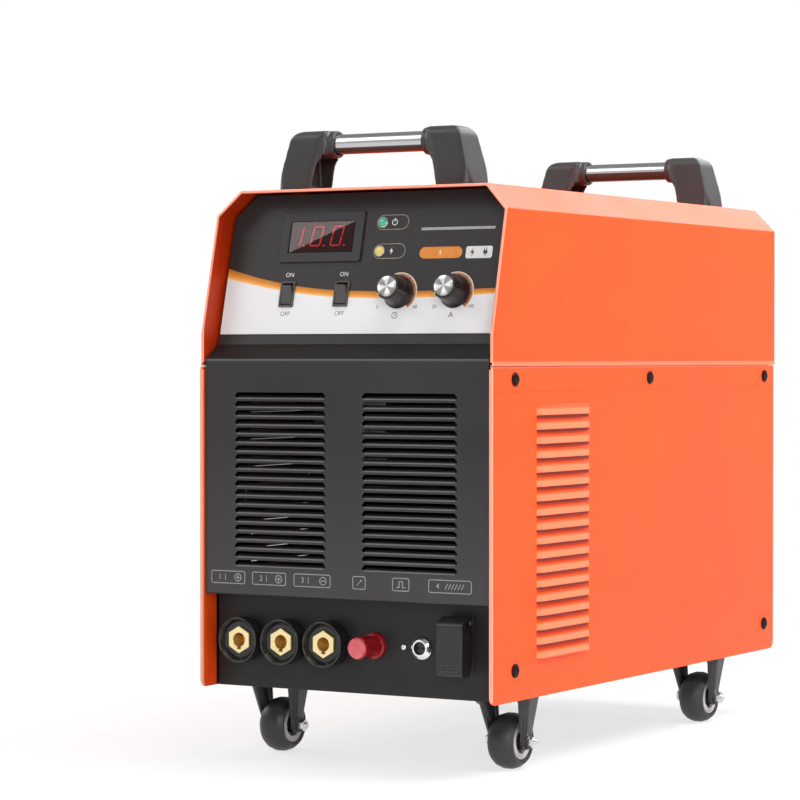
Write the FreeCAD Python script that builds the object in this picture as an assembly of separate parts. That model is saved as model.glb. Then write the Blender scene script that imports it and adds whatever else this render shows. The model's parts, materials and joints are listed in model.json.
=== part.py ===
import FreeCAD, Part
import os
from math import acos, cos, degrees, pi, radians, sin, sqrt, tan

Vec = FreeCAD.Vector
os.makedirs("parts", exist_ok=True)

# Plasma cutter unit on four swivel casters. Millimetres, +Z up, front towards -Y.
# The origin lies on the floor, midway across the unit and midway along it.
# Most lengths below are measured from three lines of the cabinet itself: across from its middle,
# back from the front edge of the lower side panels, and up from the lower edge of those panels.

# Cabinet
CABINET_WIDTH = 315.0
CABINET_DEPTH = 630.0
CABINET_HEIGHT = 471.0
FLOOR_GAP = 69.0
SHEET = 1.2
BEND = 1.6
LAP_GAP = 0.1
HEM_THICK = 2.7
HEM_DEPTH = 8.0
SKIRT_CORNER = 8.0
EDGE_BEVEL_HIGH = 2.6
EDGE_BEVEL_DEEP = 0.9

# Top cover
COVER_SEAM = 304.6
COVER_CHAMFER = 23.5
COVER_SETBACK = 1.8
COVER_LEAN_START = 334.0
COVER_LEAN_BACK = 34.8
COVER_OVERHANG = 3.0
BEAD_OUT = 0.8
BEAD_RISE = 3.2
SEAM_GAP = 0.5
TUCK_DEPTH = 23.5

# Front panel, one folded sheet
PANEL_SIDE_GAP = 2.0
LOUVRE_FACE_SETBACK = 3.0
CONNECTOR_SETBACK = 25.0
LOUVRE_FACE_BOTTOM = 89.0
LOUVRE_FACE_TOP = 311.0
LEDGE_TOP_SETBACK = 23.0
LEDGE_TOP = 325.0
CONTROL_FOOT = 333.0
CONTROL_SETBACK = 26.6
CONTROL_LEAN = 14.0
CONTROL_TOP_GAP = 2.2
FLANGE = 12.0
PANEL_FOOT = 0.5

# Formed louvres of the front panel, lanced and pressed inwards
FRONT_SLOT_LENGTH = 101.4
FRONT_SLOT_HEIGHT = 6.0
FRONT_SLOT_SLANT = 3.2
FRONT_SLOT_PITCH = 8.3
FRONT_SLOT_ROWS = 20
FRONT_SLOT_TOP = 276.8
FRONT_COLUMN_CENTRE = 69.9
FRONT_VANE_RISE = 3.3

# Formed louvres of the side panels, pressed outwards as hoods that open downwards
HOOD_LENGTH = 107.5
HOOD_HEIGHT = 10.6
HOOD_OUT = 3.4
HOOD_END = 6.5
HOOD_PITCH = 13.2
HOOD_ROWS = 18
HOOD_TOP = 270.0
HOOD_FRONT = 85.0

# Cover screws
SCREW_HEAD = 6.5
SCREW_HEAD_HIGH = 3.2
SCREW_SHANK = 3.0
SCREW_LENGTH = 12.0
SCREW_DROP = 12.0
SCREW_FRONT = 44.0
SCREW_REAR = 25.0
BASE_SCREW_HEIGHT = 28.0

# Base tray and inner shelf
TRAY_HEIGHT = 14.0
TRAY_WALL = 24.0
TRAY_END_WALL = 9.0
TRAY_SHEET = 1.5
SHELF_HEIGHT = 186.0
SHELF_WALL = 18.0

# Handles
HANDLE_BAR = 9.5
HANDLE_AXIS = 43.4
HANDLE_COLLAR = 13.0
HANDLE_COLLAR_LONG = 58.0
HANDLE_BAR_SEAT = 26.0
HANDLE_ROOF_GAP = 28.0
HANDLE_FOOT_WIDE = 38.0
HANDLE_SLANT = 15.0
HANDLE_HALF_DEPTH = 21.0
HANDLE_TAPER = 5.0
HANDLE_WALL = 3.0
HANDLE_FRONT = 74.0
HANDLE_REAR_GAP = 35.0
PRESS_GAP = 0.05

# Casters
WHEEL_RADIUS = 26.0
WHEEL_HALF_WIDTH = 13.5
WHEEL_RING = 16.6
WHEEL_RIM = 5.4
WHEEL_HUB = 8.0
WHEEL_DISH = 4.5
AXLE = 3.0
AXLE_NUT = 10.0
AXLE_NUT_HIGH = 5.0
AXLE_HEAD_HIGH = 3.0
AXLE_TAIL = 7.4
AXLE_GAP = 0.08
CASTER_INSET = 32.0
CASTER_FRONT = 89.0
CASTER_REAR_GAP = 125.0
CASTER_TRAIL = 6.0
FORK_SHEET = 2.3
FORK_TOP_HALF = 28.8
FORK_TOP_DEEP = 16.0
FORK_LOW_HALF = 18.0
FORK_LOW_DEEP = 7.5
FORK_CURL = 1.5
FORK_CORNER = 8.4
FORK_BOSS = 7.0
FORK_BOSS_OUT = 20.9
FORK_WINDOW_TOP = 18.5
FORK_WINDOW_LOW = 15.2
FORK_WINDOW_DROP = 4.5
CROWN_TOP = 4.0
PLATE_SHEET = 2.5
PLATE_HALF_X = 29.0
PLATE_HALF_Y = 27.0
KINGPIN = 4.0
KINGPIN_HEAD = 8.0
KINGPIN_HEAD_HIGH = 3.2
RACE_TOP = 20.0
RACE_LOW = 15.0
RACE_GAP = 0.3

# Connector panel
CONNECTOR_LINE = 46.0
SOCKET_RADIUS = 21.5
SOCKET_OUT = 20.0
SOCKET_WALL = 1.5
SOCKET_RECESS = 6.0
SOCKET_FLARE = 3.4
SOCKET_BORE = 6.6
SOCKET_BORE_DEEP = 14.0
SOCKET_SLEEVE = 10.0
SOCKET_HEX = 22.4
SOCKET_HEX_HIGH = 2.5
SOCKET_SPIGOT = 1.2
SOCKET_DEPTH = 22.0
SOCKET_TAIL = 5.0
SOCKET_TAIL_LONG = 10.0
SOCKET_MARGIN = 38.1
SOCKET_PITCH = 46.85
KEYWAY_WIDE = 4.0
KEYWAY_DEEP = 2.6
POST_STEP = 46.9
POST_OUT = 34.0
POST_FLANGE = 12.4
POST_FLANGE_HIGH = 6.0
POST_NECK = 6.0
POST_STUD = 3.0
POST_KNOB = 10.4
POST_KNOB_DEEP = 8.0
POST_GRIPS = 12
SWITCH_SOCKET_STEP = 29.2
SWITCH_SOCKET_FLANGE = 11.2
SWITCH_SOCKET_BODY = 8.0
SWITCH_SOCKET_NOSE = 7.6
SWITCH_SOCKET_WALL = 1.6
SWITCH_SOCKET_OUT = 4.6
SWITCH_SOCKET_DEEP = 14.0
SWITCH_SOCKET_PIN = 0.9
SWITCH_SOCKET_PIN_STEP = 2.5
KEY_SCREW_STEP = 19.3
KEY_SCREW = 1.5
COVER_MARGIN = 30.5
COVER_WIDE = 27.0
COVER_LOW = 23.0
COVER_PIN_HEIGHT = 72.5
COVER_PIN_SETBACK = 14.5
COVER_PIN = 2.0
COVER_ROOF = 7.6
COVER_ROOF_DROP = 9.0
COVER_WALL = 2.4
COVER_EAR = 2.2
COVER_EAR_GAP = 0.4
COVER_KNUCKLE = 3.6
COVER_BASE = 2.0
COVER_GRIPS = 3
TERMINAL_THREAD = 8.0
TERMINAL_OUT = 15.0
TERMINAL_DEEP = 24.0
TERMINAL_BORE = 3.2
TERMINAL_NUT = 21.0
TERMINAL_NUT_HIGH = 4.0

# Control panel, places measured across and up the slope from the foot of the panel
OVERLAY = 0.6
OVERLAY_MARGIN = 0.5
OVERLAY_FOOT = 1.5
METER_ACROSS = -51.2
METER_UP = 95.5
METER_WIDE = 90.0
METER_HIGH = 49.0
METER_BODY_WIDE = 84.0
METER_BODY_HIGH = 43.0
METER_BODY_DEEP = 46.0
METER_RIM = 2.2
WINDOW_WIDE = 72.0
WINDOW_HIGH = 31.0
LAMP_ACROSS = 13.8
LAMP_UP = (80.6, 108.5)
LAMP_RADIUS = 4.0
ROCKER_ACROSS = (-82.0, -22.0)
ROCKER_UP = 40.0
ROCKER_WIDE = 16.0
ROCKER_HIGH = 25.0
ROCKER_TILT = 12.0
ROCKER_RIM = 1.6
ROCKER_STEP = 1.0
ROCKER_EDGE = 2.0
ROCKER_SIDE_GAP = 0.4
ROCKER_END_GAP = 1.6
ROCKER_BODY_DEEP = 16.0
ROCKER_PIN = 0.9
ROCKER_PIVOT_IN = 1.2
KNOB_ACROSS = (40.0, 99.8)
KNOB_UP = 40.5
KNOB_SKIRT = 15.5
KNOB_BODY = 12.4
KNOB_CAP = 9.0
KNOB_HIGH = 22.8
KNOB_ROOF = 4.0
KNOB_GAP = 0.4
KNOB_SHAFT = 3.0
KNOB_FLUTES = 12
BOARD_SETBACK = 9.0
BOARD_THICK = 1.6
BOARD_EDGES = (-2.0, 138.0, 12.0, 122.0)
BOARD_POST_IN = 6.0
BOARD_PARTS = ((70.0, 96.0, 22.0, 16.0, 5.0), (112.0, 88.0, 14.0, 24.0, 7.0),
               (34.0, 92.0, 10.0, 30.0, 7.0))
POT_RADIUS = 8.0

# Rear panel
REAR_SETBACK = 8.0
COWL_MARGIN = 1.0
COWL_LOW = 168.0
COWL_HIGH = 284.0
COWL_OUT = 24.0
COWL_TAPER = 1.5
COWL_CORNER = 6.0
COWL_SHEET = 1.2
COWL_SLOT = 5.0
COWL_ROWS = 9
FAN_SIZE = 119.0
FAN_DEEP = 38.0
FAN_BORE = 56.5
FAN_ACROSS = 62.5
FAN_HEIGHT = 226.0
FAN_HUB = 22.0
FAN_TIP_GAP = 1.6
FAN_BLADES = 7
FAN_SEAT = 4.0
BREAKER_MARGIN = 79.5
BREAKER_HEIGHT = 372.0
BREAKER_WIDE = 54.0
BREAKER_HIGH = 45.0
BREAKER_OUT = 8.0
BREAKER_PIVOT_IN = 4.0
BREAKER_PIN = 1.5
LEVER_SWING = 44.0
GLAND_MARGIN = 73.5
GLAND_HEIGHT = 372.0
GLAND_THREAD = 12.5
GLAND_BORE = 8.0
GLAND_OUT = 24.0
INLET_MARGIN = 61.5
INLET_HEIGHT = 96.0
INLET_THREAD = 6.5
INLET_BORE = 3.0
INLET_BARB = 5.0
INLET_BARB_PITCH = 4.2
INLET_OUT = 23.0
EARTH_MARGIN = 57.5
EARTH_HEIGHT = 96.0
EARTH_STUD = 4.0
EARTH_NUT = 13.0

# Inner pieces
SHELF_FRONT = 75.0
SHELF_REAR_GAP = 14.0
COMPRESSOR_ACROSS = 40.0
COMPRESSOR_BACK = 330.0
COMPRESSOR_FOOT = (104.0, 192.0, 6.0)
MOTOR_RADIUS = 44.0
MOTOR_AXIS = 58.0
MOTOR_LONG = 120.0
CYLINDER_STEP = 76.0
CYLINDER_RADIUS = 19.0
CYLINDER_FIN = 25.0
CYLINDER_FINS = 4
TRANSFORMER_ACROSS = 84.0
TRANSFORMER_BACK = 180.0
CORE_WIDE = 90.0
CORE_DEEP = 44.0
CORE_HIGH = 84.0
CORE_LEG = 12.0
CORE_MIDDLE = 26.0
CORE_YOKE = 14.0
WINDING_OUT = 14.0
REACTOR_ACROSS = 84.0
REACTOR_BACK = 300.0
REACTOR_RADIUS = 48.0
REACTOR_BORE = 16.0
REACTOR_HIGH = 36.0
HEATSINK_ACROSS = -62.0
HEATSINK_FRONT = 120.0
HEATSINK_LONG = 260.0
HEATSINK_HIGH = 110.0
HEATSINK_WEB = 12.0
HEATSINK_FIN = 32.0
HEATSINK_FIN_THICK = 3.0
HEATSINK_FINS = 9
POWER_BOARD_GAP = 8.0
POWER_BOARD_THICK = 2.0
POWER_MODULES = 3
CAPACITOR_RADIUS = 15.0
CAPACITOR_LONG = 41.0
VALVE_ACROSS = -90.0
VALVE_BACK = 120.0
VALVE_BODY = (28.0, 40.0, 24.0)
VALVE_PORT = 7.0
VALVE_COIL = (30.0, 34.0, 34.0)

# The whole unit is centred on the origin from its foremost piece to its rearmost one.
POST_FRONT = CONNECTOR_SETBACK - POST_OUT
COWL_REAR = CABINET_DEPTH - REAR_SETBACK + COWL_OUT
FRONT_EDGE = -(POST_FRONT + COWL_REAR) / 2
HALF_WIDTH = CABINET_WIDTH / 2
INNER_HALF = HALF_WIDTH - SHEET
PANEL_HALF = HALF_WIDTH - HEM_THICK - PANEL_SIDE_GAP
REAR_FACE = CABINET_DEPTH - REAR_SETBACK
COVER_REAR = CABINET_DEPTH + COVER_OVERHANG
SCREW_LAST = CABINET_DEPTH - SCREW_REAR
COVER_SCREW_LINE = COVER_SEAM - SCREW_DROP
COVER_SCREWS = ((SCREW_FRONT, COVER_SCREW_LINE),
                ((SCREW_FRONT + SCREW_LAST) / 2, COVER_SCREW_LINE),
                (SCREW_LAST, COVER_SCREW_LINE))
BASE_SCREWS = ((SCREW_FRONT, BASE_SCREW_HEIGHT), (SCREW_LAST, BASE_SCREW_HEIGHT))
AXLE_HEIGHT = WHEEL_RADIUS - FLOOR_GAP
BREAKER_PIVOT = REAR_FACE - BREAKER_PIVOT_IN
ROCKER_PIVOT = OVERLAY - ROCKER_PIVOT_IN
SHELF_REAR = REAR_FACE - SHEET - FAN_DEEP - SHELF_REAR_GAP

# Places across the unit, each worked out from the side that its piece keeps to
HANDLE_FOOT_OUT = HALF_WIDTH - COVER_CHAMFER - HANDLE_ROOF_GAP
HANDLE_FOOT_IN = HANDLE_FOOT_OUT - HANDLE_FOOT_WIDE
HANDLE_COLLAR_END = HANDLE_FOOT_OUT - HANDLE_COLLAR_LONG
HANDLE_BAR_END = HANDLE_FOOT_OUT - HANDLE_BAR_SEAT
CASTER_ACROSS = HALF_WIDTH - CASTER_INSET
CASTER_REAR = CABINET_DEPTH - CASTER_REAR_GAP
SOCKET_FIRST = SOCKET_MARGIN - HALF_WIDTH
POST_ACROSS = SOCKET_FIRST + 2 * SOCKET_PITCH + POST_STEP
COVER_RIGHT = HALF_WIDTH - COVER_MARGIN
COVER_LEFT = COVER_RIGHT - COVER_WIDE
SWITCH_SOCKET_ACROSS = COVER_LEFT - SWITCH_SOCKET_STEP
KEY_SCREW_ACROSS = SWITCH_SOCKET_ACROSS - KEY_SCREW_STEP
COWL_HALF_WIDTH = PANEL_HALF - COWL_MARGIN
BREAKER_ACROSS = BREAKER_MARGIN - HALF_WIDTH
GLAND_ACROSS = HALF_WIDTH - GLAND_MARGIN
INLET_ACROSS = HALF_WIDTH - INLET_MARGIN
EARTH_ACROSS = EARTH_MARGIN - HALF_WIDTH


# Shared geometry

def at(x, y, z):
    """A point given across, back from the cabinet's front edge and up from its lower edge."""
    return Vec(x, y + FRONT_EDGE, z + FLOOR_GAP)


def block(x0, x1, y0, y1, z0, z1):
    """A box between two corners given in cabinet lengths."""
    return Part.makeBox(x1 - x0, y1 - y0, z1 - z0, at(x0, y0, z0))


def rod(centre, direction, radius, length):
    """A round bar from its end's centre."""
    return Part.makeCylinder(radius, length, centre, direction)


def rounded_wire(points, radii):
    """A closed wire through the points, with a tangent arc of each radius at its corner."""
    edges = []
    ends = []
    count = len(points)
    for i in range(count):
        here = points[i]
        back = (points[i - 1] - here).normalize()
        ahead = (points[(i + 1) % count] - here).normalize()
        if radii[i] <= 0:
            ends.append((here, here, None))
            continue
        half = acos(max(-1.0, min(1.0, back.dot(ahead)))) / 2
        reach = radii[i] / tan(half)
        middle = (back + ahead).normalize() * (radii[i] / sin(half) - radii[i])
        ends.append((here + back * reach, here + ahead * reach, here + middle))
    for i in range(count):
        start, finish, middle = ends[i]
        if middle is not None:
            edges.append(Part.Arc(start, middle, finish).toShape())
        following = ends[(i + 1) % count][0]
        if (following - finish).Length > 1e-6:
            edges.append(Part.LineSegment(finish, following).toShape())
    return Part.Wire(edges)


def plate_along_x(points, x0, x1, radii=None):
    """A profile of (back, up) points carried across from x0 to x1."""
    corners = [at(x0, y, z) for y, z in points]
    wire = rounded_wire(corners, radii or [0] * len(corners))
    return Part.Face(wire).extrude(Vec(x1 - x0, 0, 0))


def plate_along_y(points, y0, y1, radii=None):
    """A profile of (across, up) points carried back from y0 to y1."""
    corners = [at(x, y0, z) for x, z in points]
    wire = rounded_wire(corners, radii or [0] * len(corners))
    return Part.Face(wire).extrude(Vec(0, y1 - y0, 0))


def plate_along_z(points, z0, z1, radii=None):
    """A profile of (across, back) points carried up from z0 to z1."""
    corners = [at(x, y, z0) for x, y in points]
    wire = rounded_wire(corners, radii or [0] * len(corners))
    return Part.Face(wire).extrude(Vec(0, 0, z1 - z0))


def folded_outline(path, thick, bend):
    """Corner points and radii of a folded sheet: a path and its copy, thick to the left of it."""
    normals = []
    for (a0, b0), (a1, b1) in zip(path, path[1:]):
        length = sqrt((a1 - a0) ** 2 + (b1 - b0) ** 2)
        normals.append((-(b1 - b0) / length, (a1 - a0) / length))
    outer = list(path)
    outer_radii = [0] * len(path)
    inner = []
    inner_radii = [0] * len(path)
    for i, (a, b) in enumerate(path):
        before = normals[max(i - 1, 0)]
        after = normals[min(i, len(normals) - 1)]
        spread = 1 + before[0] * after[0] + before[1] * after[1]
        inner.append((a + thick * (before[0] + after[0]) / spread,
                      b + thick * (before[1] + after[1]) / spread))
        turn = before[0] * after[1] - before[1] * after[0]
        if bend > 0 and abs(turn) > 0.05 and 0 < i < len(path) - 1:
            outer_radii[i] = bend + thick if turn > 0 else bend
            inner_radii[i] = bend if turn > 0 else bend + thick
    return outer + inner[::-1], outer_radii + inner_radii[::-1]


def turned(profile, origin, axis):
    """A solid of revolution from (radius, along) points about an axis through the origin point."""
    axis = Vec(axis).normalize()
    side = Vec(1, 0, 0) if abs(axis.x) < 0.5 else Vec(0, 1, 0)
    side = (side - axis * side.dot(axis)).normalize()
    corners = [origin + side * r + axis * a for r, a in profile]
    return Part.Face(rounded_wire(corners, [0] * len(corners))).revolve(origin, axis, 360)


def hexagon(centre, direction, across_flats, length, point_up=True):
    """A hexagonal bar; its corners point up, or its flats do."""
    direction = Vec(direction).normalize()
    up = Vec(0, 0, 1) if abs(direction.z) < 0.9 else Vec(0, 1, 0)
    up = (up - direction * up.dot(direction)).normalize()
    side = direction.cross(up)
    radius = across_flats / sqrt(3)
    start = 0 if point_up else pi / 6
    corners = []
    for i in range(6):
        angle = start + i * pi / 3
        corners.append(centre + up * (radius * cos(angle)) + side * (radius * sin(angle)))
    return Part.Face(Part.makePolygon(corners + corners[:1])).extrude(direction * length)


def rounded_corners(solid, direction, radius):
    """Round the edges of a tapering block that run from one end of it to the other."""
    edges = []
    for edge in solid.Edges:
        run = edge.Vertexes[-1].Point - edge.Vertexes[0].Point
        if abs(run.dot(direction)) > 0.5 * run.Length:
            edges.append(edge)
    return solid.makeFillet(radius, edges)


def mirrored(shape):
    """The same piece on the other side of the unit."""
    return shape.mirror(Vec(0, 0, 0), Vec(1, 0, 0))


def group(shapes):
    """Separate solids kept as one set."""
    solids = []
    for shape in shapes:
        solids.extend(shape.Solids)
    return Part.makeCompound(solids)


def save(name, shape):
    """Write one node, after a test that it is made of sound solids."""
    solids = shape.Solids
    if not solids or not all(solid.isValid() for solid in solids):
        raise ValueError(name + " is not a sound solid")
    kept = solids[0] if len(solids) == 1 else Part.makeCompound(solids)
    kept.exportStep("parts/" + name + ".step")
    return kept


# Top cover: one sheet folded over the roof, both chamfers and both upper sides. Its lower edges
# carry a small outward bead and tuck in behind the side panels, where the screws hold them.

def cover_side_line():
    """The (across, up) line of the cover's right side, from above the bead to the roof."""
    roof = CABINET_HEIGHT
    return [(HALF_WIDTH, COVER_SEAM + BEAD_RISE), (HALF_WIDTH, roof - COVER_CHAMFER),
            (HALF_WIDTH - COVER_CHAMFER, roof)]


def beyond_chamfers(gap):
    """Both long prisms outside the cover's chamfers, once these move in by the hem and a gap."""
    roof = CABINET_HEIGHT
    line = HALF_WIDTH + roof - COVER_CHAMFER - (HEM_THICK + gap) * sqrt(2)
    right = plate_along_y([(line - roof, roof), (HALF_WIDTH, roof), (HALF_WIDTH, line - HALF_WIDTH)],
                          0, COVER_REAR)
    return [right, mirrored(right)]


def side_screw_holes(radius, places):
    """Bores from side to side at the given (back, up) places."""
    reach = HALF_WIDTH + 10
    return [rod(at(-reach, y, z), Vec(1, 0, 0), radius, 2 * reach) for y, z in places]


def cover_front_line(offset):
    """The (back, up) line of the cover's front edge, moved back by an offset."""
    foot = COVER_SETBACK + offset
    head = COVER_LEAN_BACK + offset
    return [(foot, COVER_SEAM - TUCK_DEPTH - 1), (foot, COVER_LEAN_START),
            (head, CABINET_HEIGHT), (head, CABINET_HEIGHT + 1)]


def front_region(offset):
    """Everything that lies in front of the cover's front edge moved back by an offset."""
    line = cover_front_line(offset)
    ahead = -20.0
    corners = line + [(ahead, CABINET_HEIGHT + 1), (ahead, COVER_SEAM - TUCK_DEPTH - 1)]
    return plate_along_x(corners, -HALF_WIDTH - 5, HALF_WIDTH + 5)


def make_top_cover():
    aside = HALF_WIDTH + 5
    above = CABINET_HEIGHT + 5
    tuck = INNER_HALF - LAP_GAP
    seam = COVER_SEAM
    tuck_line = [(tuck, seam - TUCK_DEPTH), (tuck, seam), (HALF_WIDTH + BEAD_OUT, seam)]
    side_line = cover_side_line()
    half = tuck_line + side_line
    path = half + [(-x, z) for x, z in half[::-1]]
    points, radii = folded_outline(path, SHEET, BEND)
    for i in range(len(points)):
        if abs(points[i][1] - seam) < BEAD_RISE + BEND:
            radii[i] = 0
    sheet = plate_along_y(points, 0, COVER_REAR, radii)
    rim = side_line + [(-x, z) for x, z in side_line[::-1]]
    rim_points, rim_radii = folded_outline(rim, HEM_THICK, BEND)
    thick = plate_along_y(rim_points, 0, COVER_REAR, rim_radii)
    front_hem = thick.common(front_region(HEM_DEPTH))
    rear_hem = thick.common(block(-aside, aside, COVER_REAR - HEM_DEPTH, COVER_REAR, 0, above))
    cover = sheet.fuse([front_hem, rear_hem]).cut(front_region(0))
    clear_of_hems = []
    for y0, y1 in ((0, HEM_DEPTH + 2), (CABINET_DEPTH - HEM_DEPTH - 2, COVER_REAR)):
        clear_of_hems.append(block(-aside, aside, y0, y1, 0, seam))
    holes = side_screw_holes(SCREW_SHANK + LAP_GAP, COVER_SCREWS)
    return cover.cut(clear_of_hems).removeSplitter().cut(holes)


# Side panels: flat sheets with a hem down the front and rear edges and eighteen pressed hoods.

def hood_solids(zt):
    """One pressed hood on the right panel, as its outer body and the hollow inside it."""
    zb = zt - HOOD_HEIGHT
    y0 = HOOD_FRONT
    y1 = HOOD_FRONT + HOOD_LENGTH

    def body(grow, root):
        out = HALF_WIDTH + HOOD_OUT - grow
        top = zt - grow
        side = [at(root, 0, zb), at(root, 0, top), at(HALF_WIDTH, 0, top)]
        swell = at(HALF_WIDTH + 0.80 * (out - HALF_WIDTH), 0, zb + 0.48 * (top - zb))
        lip = at(out, 0, zb)
        edges = [Part.LineSegment(side[0], side[1]).toShape(),
                 Part.Arc(side[2], swell, lip).toShape(),
                 Part.LineSegment(lip, side[0]).toShape()]
        if (side[2] - side[1]).Length > 1e-6:
            edges.insert(1, Part.LineSegment(side[1], side[2]).toShape())
        face = Part.Face(Part.Wire(edges))
        face.translate(Vec(0, y0 - 5, 0))
        long = face.extrude(Vec(0, HOOD_LENGTH + 10, 0))
        plan = [(root, y0 + grow), (HALF_WIDTH, y0 + grow), (out + 0.05, y0 + HOOD_END),
                (out + 0.05, y1 - HOOD_END), (HALF_WIDTH, y1 - grow), (root, y1 - grow)]
        radii = [0, 0, 5.0, 5.0, 0, 0]
        return long.common(plate_along_z(plan, zb, zt + 5, radii))

    return body(0, INNER_HALF), body(SHEET * 0.8, INNER_HALF - 0.5)


def make_side_panel():
    top = COVER_SEAM - SEAM_GAP
    shoulder = top - EDGE_BEVEL_HIGH
    points = [(INNER_HALF, 0), (HALF_WIDTH, 0), (HALF_WIDTH, shoulder),
              (HALF_WIDTH - EDGE_BEVEL_DEEP, top), (INNER_HALF, top)]
    sheet = plate_along_y(points, 0, CABINET_DEPTH)
    hem_in = HALF_WIDTH - HEM_THICK
    face = HALF_WIDTH - SHEET / 2
    hems = [block(hem_in, face, 0, HEM_DEPTH, 0, shoulder),
            block(hem_in, face, CABINET_DEPTH - HEM_DEPTH, CABINET_DEPTH, 0, shoulder)]
    panel = sheet.fuse(hems)
    corner = SKIRT_CORNER
    outline = [(0, 0), (CABINET_DEPTH, 0), (CABINET_DEPTH, COVER_SEAM), (0, COVER_SEAM)]
    keep = plate_along_x(outline, hem_in - 1, HALF_WIDTH + 1, [corner, corner, 0, 0])
    panel = panel.common(keep)
    outers = []
    hollows = []
    for row in range(HOOD_ROWS):
        outer, hollow = hood_solids(HOOD_TOP - row * HOOD_PITCH)
        outers.append(outer)
        hollows.append(hollow)
    panel = panel.fuse(outers).cut(hollows)
    return panel.cut(side_screw_holes(SCREW_SHANK + LAP_GAP, COVER_SCREWS + BASE_SCREWS))


# Front panel: one sheet folded into the connector face, the louvred face, the sloping ledge and
# the leaning control face, with a flange down each side.

def panel_path():
    """The (back, up) path of the front panel's outer face, from its lower edge to its top."""
    lean = tan(radians(CONTROL_LEAN))
    top = CABINET_HEIGHT - CONTROL_TOP_GAP - SHEET
    return [(CONNECTOR_SETBACK, PANEL_FOOT), (CONNECTOR_SETBACK, LOUVRE_FACE_BOTTOM),
            (LOUVRE_FACE_SETBACK, LOUVRE_FACE_BOTTOM), (LOUVRE_FACE_SETBACK, LOUVRE_FACE_TOP),
            (LEDGE_TOP_SETBACK, LEDGE_TOP), (CONTROL_SETBACK, CONTROL_FOOT),
            (CONTROL_SETBACK + (top - CONTROL_FOOT) * lean, top)]


def on_control(x, up, out=0.0):
    """A point of the leaning control face: across, up the slope, and out from the sheet."""
    lean = radians(CONTROL_LEAN)
    back = CONTROL_SETBACK + up * sin(lean) - out * cos(lean)
    return at(x, back, CONTROL_FOOT + up * cos(lean) + out * sin(lean))


def control_slab(x0, x1, up0, up1, out0, out1, radius=0.0):
    """A slab that lies along the control face, with rounded corners."""
    corners = [on_control(x0, up0, out0), on_control(x1, up0, out0),
               on_control(x1, up1, out0), on_control(x0, up1, out0)]
    face = Part.Face(rounded_wire(corners, [radius] * 4))
    return face.extrude(control_normal() * (out1 - out0))


def control_normal():
    lean = radians(CONTROL_LEAN)
    return Vec(0, -cos(lean), sin(lean))


def front_slot(x, z):
    """The lanced opening of one louvre, with its slanted ends."""
    half = FRONT_SLOT_LENGTH / 2
    low = z - FRONT_SLOT_HEIGHT / 2
    high = z + FRONT_SLOT_HEIGHT / 2
    shoulder = low + FRONT_SLOT_HEIGHT * 0.4
    points = [(x - half + 2.2, low), (x + half - 2.2, low), (x + half, shoulder),
              (x + half - FRONT_SLOT_SLANT, high), (x - half + FRONT_SLOT_SLANT, high),
              (x - half, shoulder)]
    return plate_along_y(points, LOUVRE_FACE_SETBACK - 1, LOUVRE_FACE_SETBACK + SHEET + 1)


def front_vane(x, z):
    """The tongue of one louvre, bent inwards and up from the opening's lower edge."""
    half = FRONT_SLOT_LENGTH / 2 - 2.4
    low = z - FRONT_SLOT_HEIGHT / 2
    face = LOUVRE_FACE_SETBACK
    rise = FRONT_VANE_RISE
    thin = SHEET * 0.7
    section = [(face, low - 0.5), (face, low), (face + rise, low + rise),
               (face + rise + thin, low + rise - thin), (face + SHEET, low - 0.5)]
    return plate_along_x(section, x - half, x + half)


def make_front_panel():
    path = panel_path()
    points, radii = folded_outline(path[::-1], SHEET, BEND)
    half = PANEL_HALF
    sheet = plate_along_x(points, -half, half, radii)
    back = [(a + FLANGE, b) for a, b in path]
    back[1] = (back[1][0], LOUVRE_FACE_BOTTOM + FLANGE)
    back[2] = (LOUVRE_FACE_SETBACK + FLANGE, LOUVRE_FACE_BOTTOM + FLANGE)
    cheek = path + back[::-1]
    sides = [plate_along_x(cheek, -half, -half + SHEET), plate_along_x(cheek, half - SHEET, half)]
    panel = sheet.fuse(sides).removeSplitter()
    slots = []
    vanes = []
    for row in range(FRONT_SLOT_ROWS):
        z = FRONT_SLOT_TOP - row * FRONT_SLOT_PITCH
        for x in (-FRONT_COLUMN_CENTRE, FRONT_COLUMN_CENTRE):
            slots.append(front_slot(x, z))
            vanes.append(front_vane(x, z))
    panel = panel.cut(slots).fuse(vanes)
    return panel.cut(connector_holes() + control_holes(SHEET + 4, -SHEET - 4)
                     + beyond_chamfers(PANEL_SIDE_GAP))


def connector_holes():
    """Openings of the connector face for the sockets, the post and the torch fittings."""
    holes = []
    y = CONNECTOR_SETBACK - 2
    through = Vec(0, 1, 0)
    for i in range(3):
        x = SOCKET_FIRST + i * SOCKET_PITCH
        holes.append(rod(at(x, y, CONNECTOR_LINE), through, SOCKET_SLEEVE + SOCKET_SPIGOT
                         + 2 * LAP_GAP, 6))
    holes.append(rod(at(POST_ACROSS, y, CONNECTOR_LINE), through, POST_NECK + 2 * LAP_GAP, 6))
    holes.append(rod(at(SWITCH_SOCKET_ACROSS, y, CONNECTOR_LINE), through,
                     SWITCH_SOCKET_BODY + LAP_GAP, 6))
    holes.append(rod(at(KEY_SCREW_ACROSS, y, CONNECTOR_LINE), through, KEY_SCREW + LAP_GAP, 6))
    holes.append(rod(at((COVER_LEFT + COVER_RIGHT) / 2, y, CONNECTOR_LINE), through,
                     TERMINAL_THREAD + 0.3, 6))
    return holes


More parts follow.
